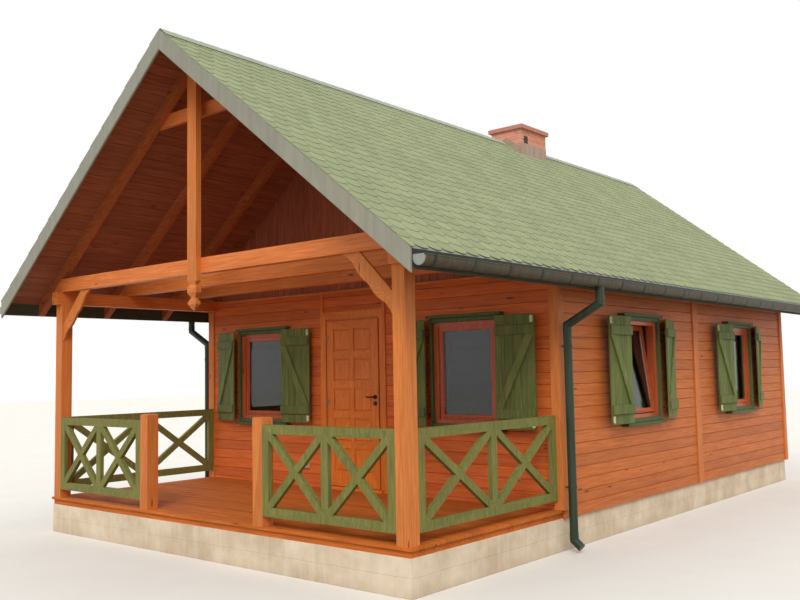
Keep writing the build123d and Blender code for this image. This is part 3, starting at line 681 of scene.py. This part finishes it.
def reshaped(node, move):
    """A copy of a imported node's mesh, with each corner moved."""
    mesh = bmesh.new()
    mesh.from_mesh(nodes[node].data)
    for corner in mesh.verts:
        corner.co = move(*corner.co)
    return mesh


def held(value, low, high):
    return min(max(value, low), high)


# Roof geometry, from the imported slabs
slope_low, slope_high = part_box("roof_right")
ridge_height = slope_high.z
eave_x = slope_high.x
roof_y0 = slope_low.y
roof_y1 = slope_high.y
fall = ridge_height - slope_low.z
pitch = atan2(fall, eave_x) - asin(slab_thickness / hypot(fall, eave_x))
slope_length = eave_x / cos(pitch)
stack_low, stack_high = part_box("chimney_stack")
barge_low, barge_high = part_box("bargeboards")


def on_slope(side, down, y, out=0.0):
    """A point on the roof: its way down from the ridge, along it, and out from the shingles' bed."""
    return Vector((side * (down * cos(pitch) + out * sin(pitch)), y,
                   ridge_height - down * sin(pitch) + out * cos(pitch)))


def beside_chimney(y0, y1):
    """The stretches of a run along the ridge that the chimney leaves free."""
    return [(y0, stack_low.y), (stack_high.y, y1)]


def spans(down, y0, y1):
    if down * cos(pitch) < stack_high.x:
        return beside_chimney(y0, y1)
    return [(y0, y1)]


def add_slab(mesh, side, downs, ys, out_low, out_high):
    """A flat piece of a slope between two ways down, two places along and two heights over the bed."""
    outline = [on_slope(side, downs[0], ys[0], out_low), on_slope(side, downs[1], ys[0], out_low),
               on_slope(side, downs[1], ys[0], out_high), on_slope(side, downs[0], ys[0], out_high)]
    add_prism(mesh, outline, (0, ys[1] - ys[0], 0))


def roof_boards(side):
    mesh = bmesh.new()
    count = int(slope_length / roof_board_width)
    width = slope_length / count
    for number in range(count):
        d0 = number * width + roof_board_gap / 2
        d1 = (number + 1) * width - roof_board_gap / 2
        for ys in spans(d0, roof_y0, roof_y1):
            add_slab(mesh, side, (d0, d1), ys, -slab_thickness, -mat_thickness)
    return mesh


def tab_outline(width, length):
    """Half-round tab seen from above: points as (along the course, down the slope)."""
    half = width / 2
    points = [(-half, 0.0), (half, 0.0)]
    for step in range(tab_round + 1):
        turn = pi * step / tab_round
        points.append((half * cos(turn), length - half * tab_round_share * (1 - sin(turn))))
    return points


def shingles(side):
    mesh = bmesh.new()
    for y0, y1 in beside_chimney(roof_y0, roof_y1):
        add_slab(mesh, side, (0.0, slope_length), (y0, y1), -mat_thickness, 0.0)
    patch = stack_high.x / cos(pitch)
    add_slab(mesh, side, (patch, slope_length), (stack_low.y, stack_high.y), -mat_thickness, 0.0)
    courses = int(slope_length / tab_exposure) + 1
    length = tab_exposure + tab_overlap
    outline = tab_outline(tab_width - tab_gap, length)
    step_down, step_along = tab_wobble_steps
    verge_y0 = barge_low.y + bed_gap
    verge_y1 = barge_high.y - bed_gap
    columns = int((verge_y1 - verge_y0) / tab_width) + 1
    normal = on_slope(side, 0, 0, 1) - on_slope(side, 0, 0, 0)
    for course in range(courses):
        end = slope_length + tab_eave_reach - course * tab_exposure
        top = end - length
        shift = tab_width / 2 if course % 2 else 0.0
        for column in range(columns + 1):
            middle = verge_y0 + column * tab_width + shift
            wobble = tab_wobble * noise.noise(Vector((course * step_down, column * step_along, side)))
            points = []
            for along, down in outline:
                y = held(middle + along, verge_y0, verge_y1)
                way = max(top + down + wobble, 0.0)
                lift = bed_gap + tab_lift * (down / length)
                points.append(on_slope(side, way, y, lift))
            if wide_enough(points) and not under_chimney(points, end):
                add_prism(mesh, points, normal * tab_thickness)
    return mesh


def wide_enough(points):
    """False for a tab that the verge or the ridge cuts down to a sliver."""
    ys = [point.y for point in points]
    return max(ys) - min(ys) > tab_least_width and (points[0] - points[-1]).length > tab_least_side


def under_chimney(points, end):
    """True for a tab that lies inside the stack, or that ends at the ridge."""
    ys = [point.y for point in points]
    inside = min(ys) > stack_low.y and max(ys) < stack_high.y
    return end <= tab_least_end or (inside and end * cos(pitch) < stack_high.x)


for side, word in ((-1, "left"), (1, "right")):
    boards = piece(f"roof_boards_{word}", roof_boards(side), "ceiling", chamfer=roof_board_chamfer)
    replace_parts(boards, f"roof_{word}")
    piece(f"shingles_{word}", shingles(side), "shingle")


def at_roof(side, x, y, out):
    """A point at a distance across from the ridge, and out from the shingles' bed."""
    return Vector((side * x, y, ridge_height - x * tan(pitch) + out / cos(pitch)))


def down_the_roof(mesh, side, profile, x0=mitre_gap, x1=eave_x):
    """A bar down a slope with plumb ends; its section is given as (along the ridge, out)."""
    ends = [[at_roof(side, x, y, out) for y, out in profile] for x in (x0, x1)]
    add_loft(mesh, *ends)


# Ridge tabs, bargeboards, verge and drip edges

def ridge_tabs():
    mesh = bmesh.new()
    sheet_low, sheet_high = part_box("chimney_flashing")
    for y0, y1 in ((barge_low.y + verge_lap, sheet_low.y), (sheet_high.y, barge_high.y - verge_lap)):
        count = int((y1 - y0 - ridge_tab_length) / ridge_tab_exposure) + 1
        step = (y1 - y0 - ridge_tab_length) / count
        for number in range(count + 1):
            start = y0 + number * step
            ends = []
            for y, lift in ((start, ridge_lift + ridge_tab_rise), (start + ridge_tab_length, ridge_lift)):
                upper = lift + ridge_tab_thickness
                ends.append([on_slope(1, ridge_wing, y, upper), at_roof(1, 0, y, upper),
                             on_slope(-1, ridge_wing, y, upper), on_slope(-1, ridge_wing, y, lift),
                             at_roof(1, 0, y, lift), on_slope(1, ridge_wing, y, lift)])
            add_loft(mesh, *ends)
    return mesh


# Each slope's two verges: its side, the gable's face and the way inward from it
verges = [(side, face, inward) for side in (-1, 1) for face, inward in ((barge_low.y, 1), (barge_high.y, -1))]


def barge_boards():
    mesh = bmesh.new()
    for side, face, inward in verges:
        y0 = face + inward * verge_clear
        y1 = face + inward * barge_thickness
        down_the_roof(mesh, side, [(y0, 0), (y1, 0), (y1, -barge_depth), (y0, -barge_depth)])
    return mesh


def verge_trims():
    """Sheets bent over the verge, each lapped under the one above it."""
    mesh = bmesh.new()
    joints = (mitre_gap, *verge_seams, eave_x)
    for side, face, inward in verges:
        for number, (x0, x1) in enumerate(zip(joints, joints[1:])):
            depth = sheet_gap + number * (verge_sheet + sheet_gap)
            over = verge_over - depth
            top = over + verge_sheet
            y0 = face + inward * depth
            y1 = y0 + inward * verge_sheet
            y2 = face + inward * verge_lap
            bent = [(y0, -verge_drop), (y0, top), (y2, top), (y2, over), (y1, over), (y1, -verge_drop)]
            down_the_roof(mesh, side, bent, x0 - verge_seam_lap if number else x0, x1)
    return mesh


def fascia_boards():
    """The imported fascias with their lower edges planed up, so that the gutters cover them."""
    return reshaped("fascias", lambda x, y, z: (x, y, max(z, fascia_foot)))


def drip_edges():
    mesh = bmesh.new()
    top = at_roof(1, eave_x, 0, 0).z
    for side in (-1, 1):
        x0 = side * (eave_x + drip_sheet)
        x1 = side * (eave_x + 2 * drip_sheet)
        add_prism(mesh, [(x0, roof_y0, top), (x1, roof_y0, top), (x1, roof_y0, top - drip_drop),
                         (x0, roof_y0, top - drip_drop)], (0, roof_y1 - roof_y0, 0))
    return mesh


def eave_shade_strips():
    """A dark sheet under the drip edges, over the ends of the roof boards: painted shade of the gap below the
    drip edges.
    """
    mesh = bmesh.new()
    top = at_roof(1, eave_x, 0, 0).z - drip_drop
    for side in (-1, 1):
        add_box(mesh, (side * (eave_x + sheet_gap), roof_y0, top - eave_drop),
                (side * (eave_x + drip_sheet), roof_y1, top))
    return mesh


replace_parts(piece("ridge_tabs", ridge_tabs(), "ridge"), "ridge_cap")
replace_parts(piece("barge_boards", barge_boards(), "grey_board", chamfer=edge_chamfer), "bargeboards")
piece("verge_trims", verge_trims(), "grey_board")
piece("drip_edges", drip_edges(), "trim")
# A dark sheet painted as the shade under the drip edges
piece("eave_shade_strips", eave_shade_strips(), "bracket")
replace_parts(piece("fascia_boards", fascia_boards(), "dark_timber"),
            "fascias")


# Places on the walls

wall_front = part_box("front_wall_right")[0].y
wall_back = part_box("back_wall")[1].y
wall_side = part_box("right_wall")[1].x
plates_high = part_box("wall_plates")[1]
porch_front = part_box("foundation_cross_walls")[0].y


# Porch carpentry

def collar_beam():
    """The collar tie between the first rafters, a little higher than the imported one."""
    mesh = bmesh.new()
    low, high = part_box("collar_tie")
    outline = []
    for side, z in ((-1, collar_low), (1, collar_low), (1, collar_high), (-1, collar_high)):
        reach = (ridge_height - (slab_thickness + collar_clear) / cos(pitch) - z) / tan(pitch)
        outline.append((side * reach, low.y, z))
    add_prism(mesh, outline, (0, high.y - low.y, 0))
    return mesh


def thin_braces():
    """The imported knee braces, cut from a thinner board."""
    low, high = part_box("knee_braces")
    depth = high.y - low.y
    return reshaped("knee_braces", lambda x, y, z: (x, low.y + (y - low.y) * brace_depth / depth, z))


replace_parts(piece("collar_beam", collar_beam(), "timber_x", chamfer=edge_chamfer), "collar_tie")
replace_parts(piece("brace_boards", thin_braces(), "timber_z"), "knee_braces")


# Upright gable boards over the ledges, and the porch deck's boards

def gable_top(x):
    return ridge_height - abs(x) * tan(pitch) - (slab_thickness + slab_clear) / cos(pitch)


def gable_boards(face, outward):
    mesh = bmesh.new()
    count = 2 * round(wall_side / gable_board_width)
    width = 2 * wall_side / count
    for number in range(count):
        x0 = -wall_side + number * width + gable_board_gap / 2
        x1 = x0 + width - gable_board_gap
        over_plate = max(abs(x0), abs(x1)) > plates_high.x - plate_width
        foot = plates_high.z + gable_plate_gap if over_plate else gable_foot
        outline = [(x0, face, foot), (x1, face, foot), (x1, face, gable_top(x1)), (x0, face, gable_top(x0))]
        add_prism(mesh, outline, (0, outward * gable_board_thickness, 0))
    return mesh


def deck_boards():
    mesh = bmesh.new()
    low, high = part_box("porch_deck")
    count = round((high.y - low.y) / deck_board_width)
    width = (high.y - low.y) / count
    for number in range(count):
        y0 = low.y + number * width
        add_box(mesh, (low.x, y0, low.z), (high.x, y0 + width - deck_board_gap, high.z))
    return mesh


for word, face, outward in (("front", wall_front, -1), ("back", wall_back, 1)):
    piece(f"gable_boards_{word}", gable_boards(face + outward * bed_gap, outward), "gable",
          chamfer=gable_board_chamfer)
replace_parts(piece("deck_boards", deck_boards(), "deck", chamfer=deck_chamfer, segments=2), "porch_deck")


def socket_box():
    """Weatherproof socket on the front wall, left of the door."""
    mesh = bmesh.new()
    x, z = socket_middle
    y = wall_front - cladding
    half = socket_size / 2
    lid = half - socket_inset
    add_box(mesh, (x - half, y - socket_base, z - half), (x + half, y, z + half))
    add_box(mesh, (x - lid, y - socket_depth, z - lid),
            (x + lid, y - socket_base - socket_lid_gap, z + half - socket_lid_top))
    return mesh


piece("wall_socket", socket_box(), "pale_plastic", chamfer=socket_chamfer, segments=2)


# Chimney bricks, proud of the mortar

def brick_run(start, end, first):
    """Bricks with joints between them along a run that begins with a brick of the first length."""
    runs = []
    place = start
    length = first
    while place < end - brick_sliver:
        stop = min(place + length, end)
        if end - stop < brick_least:
            stop = end
        runs.append((place, stop))
        place = stop + mortar
        length = brick_length
    return runs


def chimney_bricks():
    mesh = bmesh.new()
    x0, x1 = stack_low.x - brick_proud, stack_high.x + brick_proud
    y0, y1 = stack_low.y - brick_proud, stack_high.y + brick_proud
    z1 = stack_high.z - mortar
    course = 0
    while z1 > brick_foot:
        z0 = z1 - brick_height
        through = course % 2 == 0
        beside_vent = z1 > vent_low and z0 < vent_high
        ends = 0 if through else brick_width + mortar
        for a, b in brick_run(y0 + ends, y1 - ends, brick_length):
            add_box(mesh, (x0, a, z0), (x0 + brick_width, b, z1))
            if beside_vent:
                if a < vent_near - brick_sliver:
                    add_box(mesh, (x1 - brick_width, a, z0), (x1, min(b, vent_near), z1))
                if b > vent_far + brick_sliver:
                    add_box(mesh, (x1 - brick_width, max(a, vent_far), z0), (x1, b, z1))
            else:
                add_box(mesh, (x1 - brick_width, a, z0), (x1, b, z1))
        ends = brick_width + mortar if through else 0
        for a, b in brick_run(x0 + ends, x1 - ends, brick_length):
            corner = beside_vent and b == x1
            add_box(mesh, (a, y0, z0), (b, vent_near if corner else y0 + brick_width, z1))
            add_box(mesh, (a, y1 - brick_width, z0), (b, y1, z1))
        z1 = z0 - mortar
        course += 1
    return mesh


def vent_shade_plate():
    """A dark plate between the bricks of the stack's right face: painted shade inside the mouth of the vent.
    """
    mesh = bmesh.new()
    face = stack_high.x + sheet_gap
    add_box(mesh, (face, vent_near, vent_low), (face + vent_plate_thickness, vent_far, vent_high))
    return mesh


def capping():
    """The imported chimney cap, drawn in to a smaller overhang."""
    return reshaped("chimney_cap", lambda x, y, z: (
        held(x, stack_low.x - cap_overhang, stack_high.x + cap_overhang),
        held(y, stack_low.y - cap_overhang, stack_high.y + cap_overhang), z))


# The vent's mouth: a dark plate painted as the shade of the hole
piece("vent_mouth_shade", vent_shade_plate(), "dark_metal")
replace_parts(piece("cap_slab", capping(), "capping", chamfer=cap_chamfer),
            "chimney_cap")
piece("chimney_bricks", chimney_bricks(), "brick", chamfer=edge_chamfer)


# Door handle

def raised_handle():
    """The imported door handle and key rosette, a little higher up the leaf."""
    return reshaped("door_handle", lambda x, y, z: (x, y, z + handle_lift))


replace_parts(piece("lever_and_rosettes", raised_handle(), "dark_metal", "entrance_door"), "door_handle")


# Gutters with beads, end caps, seams and brackets, and collars on the downpipes

gutter_low, gutter_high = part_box("gutters")
pipes_low, pipes_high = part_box("downpipes")
gutter_radius = gutter_high.z - gutter_low.z
gutter_x = gutter_high.x - gutter_radius
gutter_z = gutter_high.z - gutter_drop
gutter_shell = gutter_radius - gutter_clear
gutter_foot = gutter_z - gutter_side - gutter_radius


def trough_section(radius):
    """A half round with straight sides above it, as (across, up) from the middle of the gutter's rim."""
    turns = [pi + pi * number / trough_round for number in range(trough_round + 1)]
    arc = [(radius * cos(turn), radius * sin(turn) - gutter_side) for turn in turns]
    return [(-radius, 0)] + arc + [(radius, 0)]


def add_along_gutter(mesh, side, section, y, length):
    add_prism(mesh, [(side * gutter_x + x, y, gutter_z + z) for x, z in section], (0, length, 0))


def add_trough(mesh, side, y0, y1, inner, outer):
    """A strip of bent sheet below the gutter's rim."""
    section = trough_section(outer) + list(reversed(trough_section(inner)))
    add_along_gutter(mesh, side, section, y0, y1 - y0)


def spaced(y0, y1, spacing, margin):
    count = max(1, round((y1 - y0 - 2 * margin) / spacing))
    return [y0 + margin + (y1 - y0 - 2 * margin) * number / count for number in range(count + 1)]


def gutters():
    mesh = bmesh.new()
    for side in (-1, 1):
        add_trough(mesh, side, gutter_low.y, gutter_high.y, gutter_shell - gutter_wall, gutter_shell)
        lip = side * (gutter_x + gutter_shell - gutter_bead / 2)
        z = gutter_z - gutter_bead
        add_rod(mesh, (lip, gutter_low.y, z), (lip, gutter_high.y, z), gutter_bead, rod_round)
        for y in spaced(gutter_low.y, gutter_high.y, seam_spacing, seam_margin):
            add_trough(mesh, side, y, y + seam_width, gutter_shell + shell_gap, gutter_shell + seam_proud)
    return mesh


def gutter_brackets():
    mesh = bmesh.new()
    for side in (-1, 1):
        back = side * (gutter_x - gutter_radius)
        for y in spaced(gutter_low.y, gutter_high.y, bracket_spacing, bracket_margin):
            add_trough(mesh, side, y, y + bracket_width, gutter_shell + shell_gap, gutter_radius - shell_gap)
            add_box(mesh, (back, y, gutter_z),
                    (back + side * bracket_thickness, y + bracket_width, gutter_z + bracket_upstand))
    return mesh


def gutter_ends():
    mesh = bmesh.new()
    section = trough_section(gutter_shell + end_cap_proud)
    for side in (-1, 1):
        add_along_gutter(mesh, side, section, gutter_low.y, end_cap_thickness)
        add_along_gutter(mesh, side, section, gutter_high.y, -end_cap_thickness)
    return mesh


def pipe_collars():
    mesh = bmesh.new()
    y = (pipes_low.y + pipes_high.y) / 2
    radius = (pipes_high.y - pipes_low.y) / 2
    for side in (-1, 1):
        outlet = side * gutter_x
        pipe = side * pipe_x
        for x, z, height in ((outlet, gutter_foot - outlet_height, outlet_height),
                             (outlet, pipe_bend_high, pipe_socket_length),
                             (pipe, pipe_bend_low - pipe_socket_length, pipe_socket_length),
                             (pipe, pipe_shoe_high, pipe_socket_length)):
            add_rod(mesh, (x, y, z), (x, y, z + height), radius + pipe_socket_proud, pipe_round)
        wall = side * (wall_side + cladding)
        for z in pipe_clips:
            add_rod(mesh, (pipe, y, z), (pipe, y, z + clip_height), radius + clip_proud, pipe_round)
            add_box(mesh, (pipe, y - clip_arm_half, z + clip_arm_low),
                    (wall, y + clip_arm_half, z + clip_arm_high))
    return mesh


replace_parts(piece("gutter_runs", gutters(), "gutter"), "gutters")
piece("gutter_brackets", gutter_brackets(), "bracket")
piece("gutter_ends", gutter_ends(), "pale_sheet")
piece("pipe_collars", pipe_collars(), "pipe")


# Window casings, beads and plank shutters, built in each window's own frame

def window_matrix(name):
    wall, middle = window_places[name]
    if wall == "front":
        return Matrix.Translation((middle, wall_front, 0))
    if wall == "back":
        return Matrix.Translation((middle, wall_back, 0)) @ Matrix.Rotation(pi, 4, "Z")
    side = 1 if wall == "right" else -1
    place = Matrix.Translation((side * wall_side, porch_front + middle, 0))
    return place @ Matrix.Rotation(side * pi / 2, 4, "Z")


def leaf_matrix(window, hand, turn):
    """Where a leaf stands: hand 1 hangs on the window's far side in its own frame, -1 is its mirror image."""
    pivot = Matrix.Translation((pivot_x, -pivot_out, 0))
    swung = pivot @ Matrix.Rotation(radians(turn), 4, "Z") @ pivot.inverted()
    mirror = Matrix.Scale(hand, 4, (1, 0, 0))
    return window_matrix(window) @ mirror @ swung


def tilt_matrix():
    """The sash of one side window leans into the room about its lower inner edge."""
    edge = Matrix.Translation((0, sash_depth - sash_out, sash_low))
    return edge @ Matrix.Rotation(radians(-sash_tilt), 4, "X") @ edge.inverted()


def placed(mesh, matrix, add, *details):
    """Moves what one building function adds."""
    before = len(mesh.verts)
    add(mesh, *details)
    mesh.verts.ensure_lookup_table()
    bmesh.ops.transform(mesh, matrix=matrix, verts=mesh.verts[before:])


def add_casing(mesh):
    face = -casing_side_depth
    inner = pivot_x - casing_side_board
    for side in (-1, 1):
        add_box(mesh, (side * inner, face, casing_low + casing_lip),
                (side * pivot_x, -casing_back, casing_high - casing_lip))
    for z0, z1 in ((casing_low + casing_lip, casing_low + casing_head_board),
                   (casing_high - casing_head_board, casing_high - casing_lip)):
        add_box(mesh, (-inner, face + casing_head_inset, z0), (inner, -casing_back, z1))
    for z0, z1 in ((casing_low, casing_low + casing_lip), (casing_high - casing_lip, casing_high)):
        add_box(mesh, (-casing_half, -casing_head_depth, z0), (casing_half, -casing_back, z1))


strap_places = (leaf_low + leaf_ledge_inset + leaf_ledge / 2, leaf_high - leaf_ledge_inset - leaf_ledge / 2)


def add_pintles(mesh):
    for z in strap_places:
        z1 = z - knuckle_height / 2
        for side in (-1, 1):
            add_box(mesh, (side * pivot_x, -pivot_out, z1 - pintle_height),
                    (side * (pivot_x + pintle_arm), -pintle_root, z1))


def add_beads(mesh):
    """Beads round the glass, and the weather bar on the sash's lower rail."""
    half = sash_half - sash_bar
    low = sash_low + sash_bar
    high = sash_high - sash_bar
    y0 = -sash_out + bead_near
    y1 = -sash_out + bead_far
    add_box(mesh, (-half, y0, low), (half, y1, low + bead_width))
    add_box(mesh, (-half, y0, high - bead_width), (half, y1, high))
    for side in (-1, 1):
        add_box(mesh, (side * half, y0, low + bead_width),
                (side * (half - bead_width), y1, high - bead_width))
    back = -sash_out
    front = back - weather_bar_out
    foot = sash_low + weather_bar_lift
    add_prism(mesh, [(-half, back, foot), (-half, front, foot), (-half, front, foot + weather_bar_lip),
                     (-half, back, foot + weather_bar_height)], (2 * half, 0, 0))


def add_leaf(mesh, falls_outward):
    """Four boards with two ledges and a brace on their outer face."""
    x0 = pivot_x + leaf_start
    x1 = x0 + leaf_width
    back = -leaf_back
    middle = back - leaf_board
    face = back - leaf_thickness
    width = leaf_width / leaf_boards
    for number in range(leaf_boards):
        add_box(mesh, (x0 + number * width + leaf_joint, middle, leaf_low),
                (x0 + (number + 1) * width - leaf_joint, back, leaf_high))
    upper = leaf_high - leaf_ledge_inset
    lower = leaf_low + leaf_ledge_inset
    for foot in (upper - leaf_ledge, lower):
        add_box(mesh, (x0 + ledge_inset, face, foot), (x1 - ledge_inset, middle, foot + leaf_ledge))
    za = upper - leaf_ledge - bed_gap
    zb = lower + leaf_ledge + bed_gap
    w = leaf_brace
    if falls_outward:
        outline = [(x0, za), (x0 + w, za), (x1, zb), (x1 - w, zb)]
    else:
        outline = [(x1 - w, za), (x1, za), (x0 + w, zb), (x0, zb)]
    add_prism(mesh, [(x, face, z) for x, z in outline], (0, leaf_thickness - leaf_board, 0))


def add_straps(mesh):
    x, y = pivot_x, -leaf_back
    for z in strap_places:
        half = strap_height / 2
        add_box(mesh, (x, y, z - half), (x + strap_length, y + strap_thickness, z + half))
        half = knuckle_height / 2
        add_rod(mesh, (x, -pivot_out, z - half), (x, -pivot_out, z + half), knuckle_radius, knuckle_round)


def add_bolts(mesh):
    x = pivot_x + leaf_start + leaf_width - bolt_from_edge
    y = -leaf_back - leaf_board
    plate = y - bolt_plate
    rod = y - bolt_rod_out
    across, up = bolt_staple_half
    for z in (leaf_high - bolt_from_end, leaf_low + bolt_from_end):
        half = bolt_length / 2
        add_box(mesh, (x - bolt_width / 2, plate, z - half), (x + bolt_width / 2, y, z + half))
        half += bolt_rod_reach
        add_rod(mesh, (x, rod, z - half), (x, rod, z + half), bolt_rod_radius, rod_round)
        for end in (z - bolt_staple_place, z + bolt_staple_place):
            add_box(mesh, (x - across, y - bolt_staple_out, end - up), (x + across, plate, end + up))


def window_pieces():
    wood, metal, beads, tilted = bmesh.new(), bmesh.new(), bmesh.new(), bmesh.new()
    for name in window_places:
        place = window_matrix(name)
        placed(wood, place, add_casing)
        placed(metal, place, add_pintles)
        if name == "right_fore":
            placed(tilted, place @ tilt_matrix(), add_beads)
        else:
            placed(beads, place, add_beads)
    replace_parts(piece("casing_boards", wood, "casing", chamfer=edge_chamfer),
                "window_casings")
    piece("pintle_arms", metal, "dark_metal")
    piece("glazing_beads", beads, "window", chamfer=bead_chamfer)
    piece("glazing_beads_tilted", tilted, "window", chamfer=bead_chamfer)


def add_leaf_and_straps(wood, metal, place, falls_outward):
    placed(wood, place, add_leaf, falls_outward)
    placed(metal, place, add_straps)


def leaf_pieces():
    for name, (window, hand, turn, falls_outward) in leaf_turns.items():
        place = leaf_matrix(window, hand, turn)
        wood, metal = bmesh.new(), bmesh.new()
        add_leaf_and_straps(wood, metal, place, falls_outward)
        body = f"shutter_{name}_leaf"
        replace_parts(piece(f"leaf_{name}", wood, "shutter", body, chamfer=edge_chamfer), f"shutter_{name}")
        piece(f"straps_{name}", metal, "dark_metal", body)
        if name in leaves_with_bolts:
            bolts = bmesh.new()
            placed(bolts, place, add_bolts)
            piece(f"bolts_{name}", bolts, "cream_metal", body, chamfer=bolt_chamfer)


def fixed_leaf_pieces():
    """The leaves of the left and back windows, which stand open."""
    wood, metal = bmesh.new(), bmesh.new()
    for window, (wall, middle) in window_places.items():
        if wall in ("left", "back"):
            for hand in (-1, 1):
                add_leaf_and_straps(wood, metal, leaf_matrix(window, hand, 0), True)
    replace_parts(piece("fixed_leaves", wood, "shutter", chamfer=edge_chamfer),
                "fixed_shutters")
    piece("fixed_straps", metal, "dark_metal")


window_pieces()
leaf_pieces()
fixed_leaf_pieces()


# Camera, light and floor

def camera():
    data = bpy.data.cameras.new("camera")
    data.lens = camera_focal
    data.sensor_width = camera_sensor
    data.sensor_fit = "HORIZONTAL"
    data.clip_end = camera_sight
    obj = linked("camera", data)
    turn = Matrix.Rotation(radians(camera_turn), 4, "Z")
    tilt = Matrix.Rotation(radians(90 + camera_tilt), 4, "X")
    roll = Matrix.Rotation(radians(camera_roll), 4, "Z")
    obj.matrix_world = Matrix.Translation(camera_place) @ turn @ tilt @ roll
    bpy.context.scene.camera = obj


def seen_rays(tree):
    """1 for what the camera sees, also mirrored or through glass, and 0 for the light on things."""
    rays = tree.nodes.new("ShaderNodeLightPath").outputs
    seen = rays["Is Camera Ray"]
    for name in ("Is Glossy Ray", "Is Transmission Ray"):
        either = tree.nodes.new("ShaderNodeMath")
        either.operation = "MAXIMUM"
        seen = fed(tree, either, {0: seen, 1: rays[name]})
    return seen


def sky():
    """Even light, with a plain white background for what the camera sees."""
    world = bpy.data.worlds.new("studio")
    world.use_nodes = True
    tree = world.node_tree
    level = tree.nodes.new("ShaderNodeMapRange")
    strength = fed(tree, level, {"Value": seen_rays(tree), "To Min": sky_strength, "To Max": 1.0})
    fed(tree, tree.nodes["Background"], {"Color": (1, 1, 1, 1), "Strength": strength})
    bpy.context.scene.world = world


def sun():
    data = bpy.data.lights.new("key", "SUN")
    data.energy = sun_strength
    data.angle = radians(sun_spread)
    obj = linked("key", data)
    obj.rotation_euler = (radians(90 - sun_height), 0, radians(sun_turn))


def floor():
    """A pale plain floor, which throws back less light than the camera sees in it."""
    mesh = bmesh.new()
    add_box(mesh, (-floor_reach, -floor_reach, -floor_thickness), (floor_reach, floor_reach, 0.0))
    shade = Shade("floor", 0.9)
    mottled = shade.noise(shade.place, 1.5, 3.0)
    pale = shade.mix(mottled, (232, 228, 220), (240, 237, 230))
    shade.colour(shade.mix(seen_rays(shade.tree), (150, 140, 122), pale))
    solid("floor", mesh, shade.material)


camera()
sky()
sun()
floor()
bpy.context.scene.view_settings.view_transform = "Standard"
